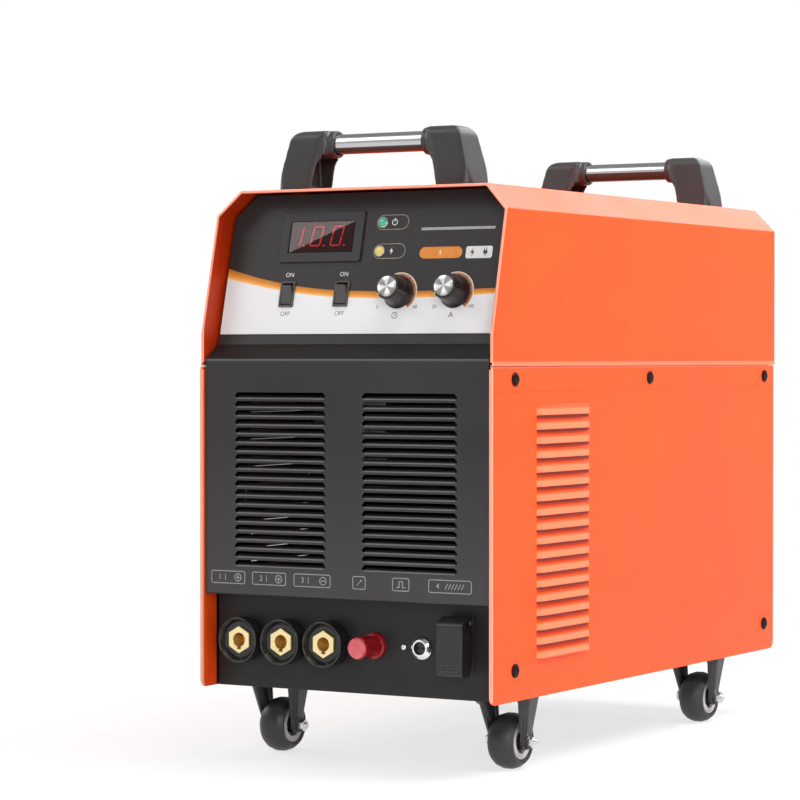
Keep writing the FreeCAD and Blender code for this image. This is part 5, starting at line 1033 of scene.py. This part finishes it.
SKIRT_RADIUS = 0.0155
BODY_RADIUS = 0.0124
CAP_RADIUS = 0.0099
CAP_STEPS = 64
KNOB_HIGH = 0.0228
KNOB_STEPS = 144
SEAT_GAP = 0.0004
FLUTES = 18
RING_WAVE = 14000.0  # radians to a metre of the radius
POINTER_TURN = math.radians(222)
POINTER_WIDE = 0.0013
POINTER_PROUD = 0.00025
POINTER_ROWS = slice(9, 15)

# radius, height and depth of the flutes there
knob_profile = [(0, 0, 0), (SKIRT_RADIUS - 0.0010, 0, 0), (SKIRT_RADIUS, 0.0004, 0),
                (SKIRT_RADIUS, 0.0013, 0), (SKIRT_RADIUS - 0.0005, 0.0020, 0),
                (0.0141, 0.0031, 0), (0.0132, 0.0046, 0), (0.0127, 0.0066, 0.0001),
                (BODY_RADIUS, 0.0095, 0.00025), (0.0122, 0.0150, 0.0003),
                (0.0120, 0.0200, 0.0003), (0.0118, 0.0213, 0.0002), (0.0113, 0.0222, 0.0001),
                (0.0106, 0.0226, 0), (CAP_RADIUS + 0.0003, 0.0226, 0),
                (CAP_RADIUS + 0.0001, 0.0221, 0), (0, 0.0221, 0)]
cap_profile = [(0, 0.0220), (CAP_RADIUS, 0.0220), (CAP_RADIUS, KNOB_HIGH - 0.0006),
               (CAP_RADIUS - 0.0004, KNOB_HIGH - 0.0001), (CAP_RADIUS - 0.0010, KNOB_HIGH),
               (0.0060, KNOB_HIGH - 0.0001), (0.0030, KNOB_HIGH - 0.0002), (0, KNOB_HIGH - 0.0002)]


def fluted(profile, centre, axis):
    """A turned surface whose radius dips with depth * (0.5 + 0.5 cos(flutes * angle))."""
    rows = np.asarray(profile, float)
    dip = rows[:, 2:] * (0.5 + 0.5 * np.cos(FLUTES * full_turn(KNOB_STEPS)))
    return turned(rows[:, :1] - dip, rows[:, 1:2], centre, axis, KNOB_STEPS)


def line_down(profile, centre, axis, turn, wide, proud):
    """A raised line that follows a profile's side at one angle: a closed band of four corners a
    row, run out to a point at both ends."""
    rows = np.asarray(profile, float)[:, :2]
    out = np.array(face_right) * math.cos(turn) + np.array(face_up) * math.sin(turn)
    side = np.cross(np.array(axis), out)
    middle = np.array(centre) + rows[:, :1] * out + rows[:, 1:] * np.array(axis)
    slope = np.gradient(rows, axis=0)
    slope /= np.linalg.norm(slope, axis=1)[:, None]
    lift = (slope[:, 1:] * out - slope[:, :1] * np.array(axis)) * proud
    half = side * wide / 2
    line = np.stack((middle - half, middle - half + lift, middle + half + lift, middle + half), 1)
    first = np.repeat(middle[:1, None], 4, 1)
    last = np.repeat(middle[-1:, None], 4, 1)
    return np.concatenate((first, line, last))


def make_spun_metal(centre):
    """Aluminium turned on a lathe: fine rings round the centre, and four pale and dark sectors
    painted in its colour and roughness, a painted sheen as the rings would throw it."""
    made, tree, shader, place = new_material("spun_cap", metallic=1.0)
    local = away_from(tree, place, centre)
    across = measure(tree, "DOT_PRODUCT", local, tuple(face_right))
    up = measure(tree, "DOT_PRODUCT", local, tuple(face_up))
    fourth = reckon(tree, "MULTIPLY_ADD", reckon(tree, "ARCTAN2", up, across), 4.0, 0.7)
    sheen_sector = spread(tree, reckon(tree, "SINE", fourth), -0.7, 0.8, way="SMOOTHSTEP")
    rings = reckon(tree, "MULTIPLY", measure(tree, "LENGTH", local), RING_WAVE)
    colour = blend_colours(tree, sheen_sector, (0.30, 0.29, 0.28), (0.93, 0.93, 0.92))
    feed(tree, shader, {"Base Color": colour, "Roughness": spread(tree, sheen_sector, 0, 1, 0.42, 0.28),
                        "Normal": bumped(tree, reckon(tree, "SINE", rings), 0.000004, 0.4)})
    return made


knob_plastic = make_moulding("knob_plastic", (0.014, 0.0095, 0.0095), (0.020, 0.0135, 0.0135),
                             (0.26, 0.34), relief=0.000004, edge=(0.05, 0.035, 0.035))
pointer_paint = plain_ink("pointer_paint", (0.80, 0.66, 0.36), (0.88, 0.74, 0.44), 0.35)
for name, x in zip(("delay_knob", "current_knob"), KNOB_ACROSS):
    seat = on_face(x, KNOB_UP, FILM_THICK + SEAT_GAP)
    surface(name + "_body", fluted(knob_profile, seat, face_out), knob_plastic, name,
            replaces=(name,))
    surface(name + "_cap", around(cap_profile, seat, face_out, CAP_STEPS), make_spun_metal(seat),
            name)
    surface(name + "_line", line_down(knob_profile[POINTER_ROWS], seat, face_out, POINTER_TURN,
                                      POINTER_WIDE, POINTER_PROUD), pointer_paint, name)


# The connector row. Three bayonet sockets: gloss black collars round brass inserts with a hexagon
# front and a bore; then a red binding post, a plated switch socket and a hinged cover.

INSERT_FACE = -0.3100
BORE_END = -0.20
POST_FACE = -0.3275
SWITCH_SOCKET = (0.0708, 0.115)
CORE_RADIUS = 0.0063
COVER_HINGE = (-0.304, 0.1415)
COVER_EARS = (0.1004, 0.1266)
PIN_RADIUS = 0.0022

# Painted shade down the bore of each insert.
bore_shade = band("Y", INSERT_FACE + 0.0007, BORE_END, 0.0004)
brass = coated("turned_brass", (0.80, 0.55, 0.20), (0.90, 0.66, 0.28), (1.0, 0.84, 0.50),
               (0.26, 0.38), ripples=1500.0, relief=0.000003, drifts=60.0, metallic=1.0)
insert_brass = coated("insert_brass", (0.92, 0.74, 0.38), (1.0, 0.82, 0.46), (1.0, 0.90, 0.62),
                      (0.24, 0.34), ripples=1500.0, relief=0.000003, drifts=60.0,
                      shades=((bore_shade, (0.88, 0.64, 0.20)),), metallic=0.75)
chrome = coated("bright_chrome", (0.72, 0.72, 0.73), (0.84, 0.84, 0.84), (0.95, 0.95, 0.95),
                (0.08, 0.14), ripples=500.0, relief=0.000004, drifts=60.0, metallic=1.0)
smooth_black = make_moulding("smooth_black_plastic", (0.0145, 0.0138, 0.0142),
                             (0.0190, 0.0180, 0.0185), (0.32, 0.42), relief=0.000010,
                             edge=(0.11, 0.11, 0.11))


def make_red_plastic(name, deep, light, roughness, through):
    """Tinted phenolic that can let a little light through."""
    return tinted(name, deep, light, 700.0, 80.0, 0.00001, roughness=roughness, ior=1.5,
                  transmission_weight=through)


def pin_heads(x, y, z):
    """The ends of the hinge pin, outside the ears of the cover."""
    near = np.hypot(y - COVER_HINGE[0], z - COVER_HINGE[1]) < PIN_RADIUS
    return near & ((x > COVER_EARS[1]) | (x < COVER_EARS[0]))


refined("socket_collars", gloss_black, width=0.0005)
refined("socket_inserts", insert_brass, width=0.0003)
refine_all(("air_inlet", "earth_stud", "torch_terminal"), brass, 0.0002)
clear_red = make_red_plastic("clear_red", (0.30, 0.003, 0.009), (0.40, 0.006, 0.016), 0.16, 0.25)
# The front face of the post's knob takes a paler red, a painted highlight.
highlit_face_red = make_red_plastic("highlit_face_red", (0.58, 0.085, 0.11), (0.68, 0.13, 0.15), 0.40, 0.0)
refined("pilot_post", clear_red, width=0.0003)
refined("pilot_post_knob", [clear_red, highlit_face_red], width=0.0005,
        split=lambda x, y, z: y < POST_FACE + 0.0002)
refined("torch_switch_socket", [chrome, gloss_black], width=0.0002,
        split=lambda x, y, z: np.hypot(x - SWITCH_SOCKET[0], z - SWITCH_SOCKET[1]) < CORE_RADIUS)
refined("torch_cover_base", [smooth_black, chrome], width=0.0003, split=pin_heads)
refined("torch_cover_flap", smooth_black, width=0.0006)


# Labels printed on the black front above the sockets: thin rounded frames with a plain figure or
# sign in each, as a generic key to the connectors.

LABEL_LINE = 0.1743
LABEL_HIGH = 0.0122
LABEL_CORNER = 0.0021
LABEL_STROKE = 0.0007
LABEL_SPANS = ((-0.1467, -0.1085), (-0.1005, -0.0629), (-0.0544, -0.0141), (0.0098, 0.0238),
               (0.0524, 0.0704), (0.0904, 0.1353))
NUMBER_SIZE = 0.0072
NUMBER_IN = 0.0098
RULE_IN = 0.0160
RULE_HALF = 0.0030
RING_IN = 0.0082
RING_SIZE = 0.0078
LAST_NUMBER_IN = 0.0096
RUNGS = np.arange(0.1075, 0.1250, 0.0034)
RUNG_HALF = 0.0026
RUNG_LEAN = 0.0030
ARROW = (0.0168, LABEL_LINE, 0.0062)
PULSE = (0.0614, LABEL_LINE, 0.0092)


def plus_ring(x, y, size, upright):
    """A ring with a plus in it, or a minus."""
    lines = [(-0.28, 0, 0.28, 0)]
    if upright:
        lines += [(0, -0.28, 0, -0.055), (0, 0.055, 0, 0.28)]
    return [filled(ring(x, y, size / 2, size * 0.1))] + marks(strokes(x, y, size, 0.11, *lines))


def step_sign(x, y, size):
    """A square pulse: low, up, along, down and low again."""
    points = ((-0.5, -0.3), (-0.2, -0.3), (-0.2, 0.3), (0.2, 0.3), (0.2, -0.3), (0.5, -0.3))
    return strokes(x, y, size, 0.09, *(first + last for first, last in zip(points, points[1:])))


def slant_arrow(x, y, size):
    """An arrow from low left to high right with a filled head."""
    head = np.array(((0.5, 0.5), (0.12, 0.36), (0.36, 0.12))) * size + (x, y)
    return [*strokes(x, y, size, 0.10, (-0.45, -0.45, 0.25, 0.25)), head]


label_art = [filled(framed_box((left + right) / 2, LABEL_LINE, right - left, LABEL_HIGH,
                               LABEL_CORNER, LABEL_STROKE)) for left, right in LABEL_SPANS]
for number, (left, right) in enumerate(LABEL_SPANS[:3]):
    label_art.append(lettered(str(number + 1), left + NUMBER_IN, LABEL_LINE, NUMBER_SIZE))
    label_art += plus_ring(right - RING_IN, LABEL_LINE, RING_SIZE, upright=number < 2)
    label_art += marks([bar(left + RULE_IN, LABEL_LINE - RULE_HALF, left + RULE_IN,
                            LABEL_LINE + RULE_HALF, 0.0006)])
label_art += marks(slant_arrow(*ARROW) + step_sign(*PULSE))
label_art.append(lettered("4", LABEL_SPANS[5][0] + LAST_NUMBER_IN, LABEL_LINE, NUMBER_SIZE))
label_art += marks([bar(x, LABEL_LINE - RUNG_HALF, x + RUNG_LEAN, LABEL_LINE + RUNG_HALF,
                        LABEL_STROKE) for x in RUNGS])
printed("front_labels", label_art,
        plane_at(Vector((0, LOUVRE_FACE, 0)), face_right, Vector((0, 0, 1))),
        plain_ink("label_ink", (0.28, 0.28, 0.29), (0.36, 0.36, 0.37)))


# Screws of the cover and the side panels: large blackened domes with a cross recess, and one small
# bright key screw on the connector panel.

SCREW_ROWS = ((0.3616, (-0.2745, 0.006, 0.2865)), (0.097, (-0.2745, 0.2865)))
SIDE_FACE = 0.1575
SCREW_STEPS = 72
KEY_SCREW = (0.0515, -0.2935, 0.115)
# radius and height of a head
SCREW_HEAD = (0.0065, 0.0031)
KEY_HEAD = (0.0027, 0.0019)
# half the width and the reach of the cross, as shares of the radius
ARM_HALF = 0.15
ARM_LONG = 0.60
# the fall of the dome and the depth of the cross as shares of the height, and the shank's radius
DOME_FALL = 0.62
DOME_CURVE = 2.4
CROSS_DEEP = 0.45
SHANK = 0.42


def screw_points(seat, axis, radius, high):
    """A domed head: its height falls with a power of the radius, and a cross is sunk in it where
    the nearer of the two arms' middle lines is close; below are the rim and a short shank."""
    share = np.concatenate((np.linspace(0, 0.62, 15), np.linspace(0.68, 1.0, 6)))[:, None]
    u = np.abs(share * np.cos(full_turn(SCREW_STEPS)))
    v = np.abs(share * np.sin(full_turn(SCREW_STEPS)))
    arm = np.clip((ARM_HALF - np.minimum(u, v)) / 0.05, 0, 1)
    arm *= np.clip((ARM_LONG - np.maximum(u, v)) / 0.08, 0, 1)
    rise = high * (1 - DOME_FALL * share ** DOME_CURVE - CROSS_DEEP * arm)
    top = turned(radius * share, rise, seat, axis, SCREW_STEPS)
    shank = radius * SHANK
    below = around([(radius, 0.0), (shank, 0.0), (shank, -high), (0, -high)], seat, axis,
                   SCREW_STEPS)
    return np.concatenate((top, below))


blackened = coated("blackened_steel", (0.009, 0.005, 0.005), (0.015, 0.008, 0.008),
                   (0.040, 0.026, 0.024), (0.16, 0.26), ripples=800.0, relief=0.000006,
                   drifts=160.0, specular_ior_level=0.12)
seats = [((side * SIDE_FACE, y, z), (side, 0, 0)) for side in (-1, 1) for z, row in SCREW_ROWS
         for y in row]
for number, (seat, axis) in enumerate(seats):
    surface("cover_screw_%02d" % (number + 1), screw_points(seat, axis, *SCREW_HEAD), blackened,
            "case", angle=28.0, replaces=("case_screws",))
surface("key_screw", screw_points(KEY_SCREW, (0, -1, 0), *KEY_HEAD), chrome, "case",
        angle=28.0)


# Carrying handles: stainless tubes, brushed along their length, let into moulded plastic brackets
# that are bolted to the roof.

BAR_LINE = 0.5834
BAR_RADIUS = 0.0095
EVEN_SKIN = 0.0010
BRACKET_TAPER = 0.005
DRAWN_OUT = (6.0, 700.0, 700.0)
ENDS = ("front", "rear")
SIDES = ("left", "right")
bracket_satin = make_moulding("bracket_satin", (0.026, 0.0250, 0.0260), (0.034, 0.032, 0.033),
                              (0.34, 0.42), ripples=1300.0, relief=0.000014,
                              edge=(0.085, 0.085, 0.086))


def moulded(name, material):
    """A CAD node's copy with an even skin of small squares, relaxed so that broad faces shade
    true and corners turn softly, as they leave a mould. First every point is brought within the
    front and rear faces, which taper evenly with the height."""
    piece = refined(name, material, angle=180.0)
    piece.modifiers.clear()
    low, high = (Vector(corner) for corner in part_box(name))
    points = np.empty(3 * len(piece.data.vertices))
    piece.data.vertices.foreach_get("co", points)
    points = points.reshape(-1, 3)
    half = (high.y - low.y) / 2 - BRACKET_TAPER * (points[:, 2] - low.z) / (high.z - low.z)
    middle = (high.y + low.y) / 2
    points[:, 1] = np.clip(points[:, 1], middle - half, middle + half)
    piece.data.vertices.foreach_set("co", points.ravel())
    skin = piece.modifiers.new("even_skin", "REMESH")
    skin.mode = "VOXEL"
    skin.voxel_size = EVEN_SKIN
    skin.use_smooth_shade = True
    relax = piece.modifiers.new("relaxed_skin", "SMOOTH")
    relax.factor = 0.5
    relax.iterations = 8


def make_brushed_tube(name, shade_from):
    """Stainless tube: fine scratches along it from noise drawn out along X. From a share of the
    radius below its middle it is dark and not metallic, a painted shade on its underside."""
    made, tree, shader, place = new_material(name)
    drawn = add(tree, "ShaderNodeMapping", {"Vector": place, "Scale": DRAWN_OUT})
    lines = add(tree, "ShaderNodeTexNoise", {"Vector": drawn.outputs[0], "Scale": 1.0,
                                             "Detail": 3.0}).outputs["Fac"]
    above_shade = spread(tree, along(tree, place, "Z"), BAR_LINE - (shade_from + 0.1) * BAR_RADIUS,
                      BAR_LINE - shade_from * BAR_RADIUS, way="SMOOTHSTEP")
    tone = blend_colours(tree, lines, (0.50, 0.50, 0.51), (0.66, 0.66, 0.67))
    feed(tree, shader, {"Metallic": above_shade,
                        "Base Color": blend_colours(tree, above_shade, (0.022, 0.042, 0.046), tone),
                        "Roughness": spread(tree, lines, 0, 1, 0.14, 0.30),
                        "Normal": bumped(tree, lines, 0.00001, 0.5)})
    return made


for end in ENDS:
    for side in SIDES:
        moulded(end + "_handle_bracket_" + side, bracket_satin)
# Each bar with the share of its radius below its middle where the painted shade begins.
for end, shade_from in zip(ENDS, (0.34, 0.02)):
    refined(end + "_handle_bar", make_brushed_tube(end + "_brushed_tube", shade_from), width=0.0002,
            angle=40.0)


# Swivel casters: pressed forks on zinc plates, plated axle bolts, and wheels with a grey rubber
# tyre, a light ring and a dark hub.

RING_RADIUS = 0.0166
HUB_RADIUS = 0.0108
fork_paint = coated("fork_paint", (0.017, 0.0165, 0.017), (0.028, 0.027, 0.028),
                    (0.14, 0.14, 0.145), (0.30, 0.42), ripples=700.0, relief=0.00002, drifts=40.0)
tyre_rubber = coated("tyre_rubber", (0.022, 0.021, 0.023), (0.032, 0.031, 0.033),
                     (0.06, 0.06, 0.06), (0.38, 0.52), ripples=1500.0, relief=0.00002, drifts=70.0)
ring_grey = coated("wheel_ring_grey", (0.42, 0.39, 0.41), (0.54, 0.50, 0.52), (0.62, 0.60, 0.60),
                   (0.34, 0.44), ripples=900.0, relief=0.00001, drifts=70.0)
bolt_metal = coated("plated_bolt", (0.60, 0.60, 0.61), (0.76, 0.76, 0.76), (0.9, 0.9, 0.9),
                    (0.16, 0.26), ripples=700.0, relief=0.000005, drifts=120.0, metallic=1.0)


def wheel_rings(axle):
    """A splitter of a wheel into tyre, ring and hub, by the distance from its axle."""
    def split(x, y, z):
        away = np.hypot(y - axle[1], z - axle[2])
        return np.where(away > RING_RADIUS, 0, np.where(away > HUB_RADIUS, 1, 2))
    return split


for corner in [end + "_" + side for end in ENDS for side in SIDES]:
    refined("caster_fork_" + corner, fork_paint, width=0.0005)
    refined("caster_wheel_" + corner, [tyre_rubber, ring_grey, gloss_black], width=0.0004,
            split=wheel_rings(joints["roll_" + corner]["pos_m"]))
    refined("caster_axle_" + corner, bolt_metal, width=0.0002)


# The rear: two fans behind the cowl, a breaker with its lever, a cable gland, the air inlet and an
# earth stud. Plain signs are printed beside the breaker and the stud.

REAR_FACE = 0.3035
BREAKER_PLACE = (0.078, 0.441)
BREAKER_SIGNS = (("I", 0.014), ("O", -0.014))
SIGN_ASIDE = 0.0385
SIGN_SIZE = 0.0075
EARTH_PLACE = (0.100, 0.165)
EARTH_SIGN_OVER = 0.020
EARTH_SIGN_SIZE = 0.0120
refine_all(("fan_frames", "fan_rotor_left", "fan_rotor_right", "cable_gland", "mains_breaker",
            "breaker_lever"), matt_black, 0.0003)


def earth_sign(x, y, size):
    """Three lines that shorten downwards under a stem."""
    return strokes(x, y, size, 0.09, (-0.40, 0.0, 0.40, 0.0), (-0.26, -0.17, 0.26, -0.17),
                   (-0.12, -0.34, 0.12, -0.34), (0, 0.05, 0, 0.42))


rear_art = [lettered(sign, BREAKER_PLACE[0] + SIGN_ASIDE, BREAKER_PLACE[1] + rise, SIGN_SIZE)
            for sign, rise in BREAKER_SIGNS]
rear_art += marks(earth_sign(EARTH_PLACE[0], EARTH_PLACE[1] + EARTH_SIGN_OVER,
                             EARTH_SIGN_SIZE))
printed("rear_signs", rear_art,
        plane_at(Vector((0, REAR_FACE, 0)), Vector((-1, 0, 0)), Vector((0, 0, 1))), white_ink)


# Inside: the air pump, valve and boards on the tray and shelf, the power module on its heatsink,
# the transformer and the output choke, seen only as glints through the louvres and the cowl.

CORE_HALF_DEEP = 0.0225
VALVE_TOP = 0.1085
RING_RIDGES = 72.0  # ridges round the ring core
COIL_RIDGES = 3100.0  # radians to a metre of the height
control_out = on_face(0.0, 0.0, -0.0110)
power_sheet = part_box("inverter_board")[1].x - 0.0080
# how far behind and before a board's face its parts begin
CONTROL_PARTS = (-0.0022, 0.0006)
POWER_PARTS = (-0.0025, 0.0003)
# Both aluminium colours are kept far darker than bare metal, painted shade of the closed cabinet.
cast_grey = coated("cast_aluminium", (0.13, 0.13, 0.135), (0.20, 0.20, 0.205), (0.36, 0.36, 0.36),
                   (0.46, 0.60), ripples=1200.0, relief=0.00006, drifts=30.0, metallic=0.9)
fin_grey = coated("milled_aluminium", (0.16, 0.16, 0.165), (0.24, 0.24, 0.245),
                  (0.45, 0.45, 0.45), (0.40, 0.52), ripples=500.0, relief=0.00001, drifts=30.0,
                  metallic=1.0)
ferrite = coated("ferrite_core", (0.016, 0.016, 0.017), (0.026, 0.026, 0.027), (0.08, 0.08, 0.08),
                 (0.5, 0.65), ripples=900.0, relief=0.00004)
board_green = coated("board_lacquer", (0.006, 0.040, 0.014), (0.012, 0.065, 0.024),
                     (0.10, 0.14, 0.08), (0.22, 0.34), ripples=1800.0, relief=0.00001,
                     drifts=120.0)


def make_wound_copper(name, centre, radial):
    """Enamelled copper wire laid side by side: ridges either round an upright core or, on a ring
    core, across it by the angle round its middle. The colour darkens in the grooves between the
    turns, a painted shade."""
    made, tree, shader, place = new_material(name, metallic=0.85, roughness=0.3)
    local = away_from(tree, place, centre)
    if radial:
        turn = reckon(tree, "ARCTAN2", along(tree, local, "Y"), along(tree, local, "X"))
        count = reckon(tree, "MULTIPLY", turn, RING_RIDGES)
    else:
        count = reckon(tree, "MULTIPLY", along(tree, local, "Z"), COIL_RIDGES)
    ridge = spread(tree, reckon(tree, "SINE", count), -1.0, 1.0)
    feed(tree, shader, {"Base Color": blend_colours(tree, ridge, (0.10, 0.022, 0.006),
                                                    (0.62, 0.20, 0.06)),
                        "Normal": bumped(tree, ridge, 0.0008)})
    return made


def box_middle(name):
    """The middle of a node's box."""
    low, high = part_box(name)
    return (Vector(low) + Vector(high)) / 2


def lifted(x, y, z):
    """Parts that stand off the control board, by the distance from its face."""
    out = (y - control_out.y) * face_out.y + (z - control_out.z) * face_out.z
    return (out > CONTROL_PARTS[1]) | (out < CONTROL_PARTS[0])


def standing(x, y, z):
    """Modules and capacitors of the power board, by the distance across from its sheet."""
    out = x - power_sheet
    return (out > POWER_PARTS[1]) | (out < POWER_PARTS[0])


coil_middle = box_middle("power_transformer")
refined("air_compressor", cast_grey, width=0.0005)
refined("heatsink", fin_grey, width=0.0002)
refined("power_transformer", [ferrite, make_wound_copper("bobbin_copper", coil_middle, False)],
        width=0.0003, split=lambda x, y, z: np.abs(y - coil_middle.y) > CORE_HALF_DEEP)
refined("output_reactor", make_wound_copper("choke_copper", box_middle("output_reactor"), True))
refined("control_board", [board_green, matt_black], split=lifted)
refined("inverter_board", [board_green, matt_black], split=standing)
refined("gas_valve", [brass, matt_black], width=0.0003, split=lambda x, y, z: z > VALVE_TOP)
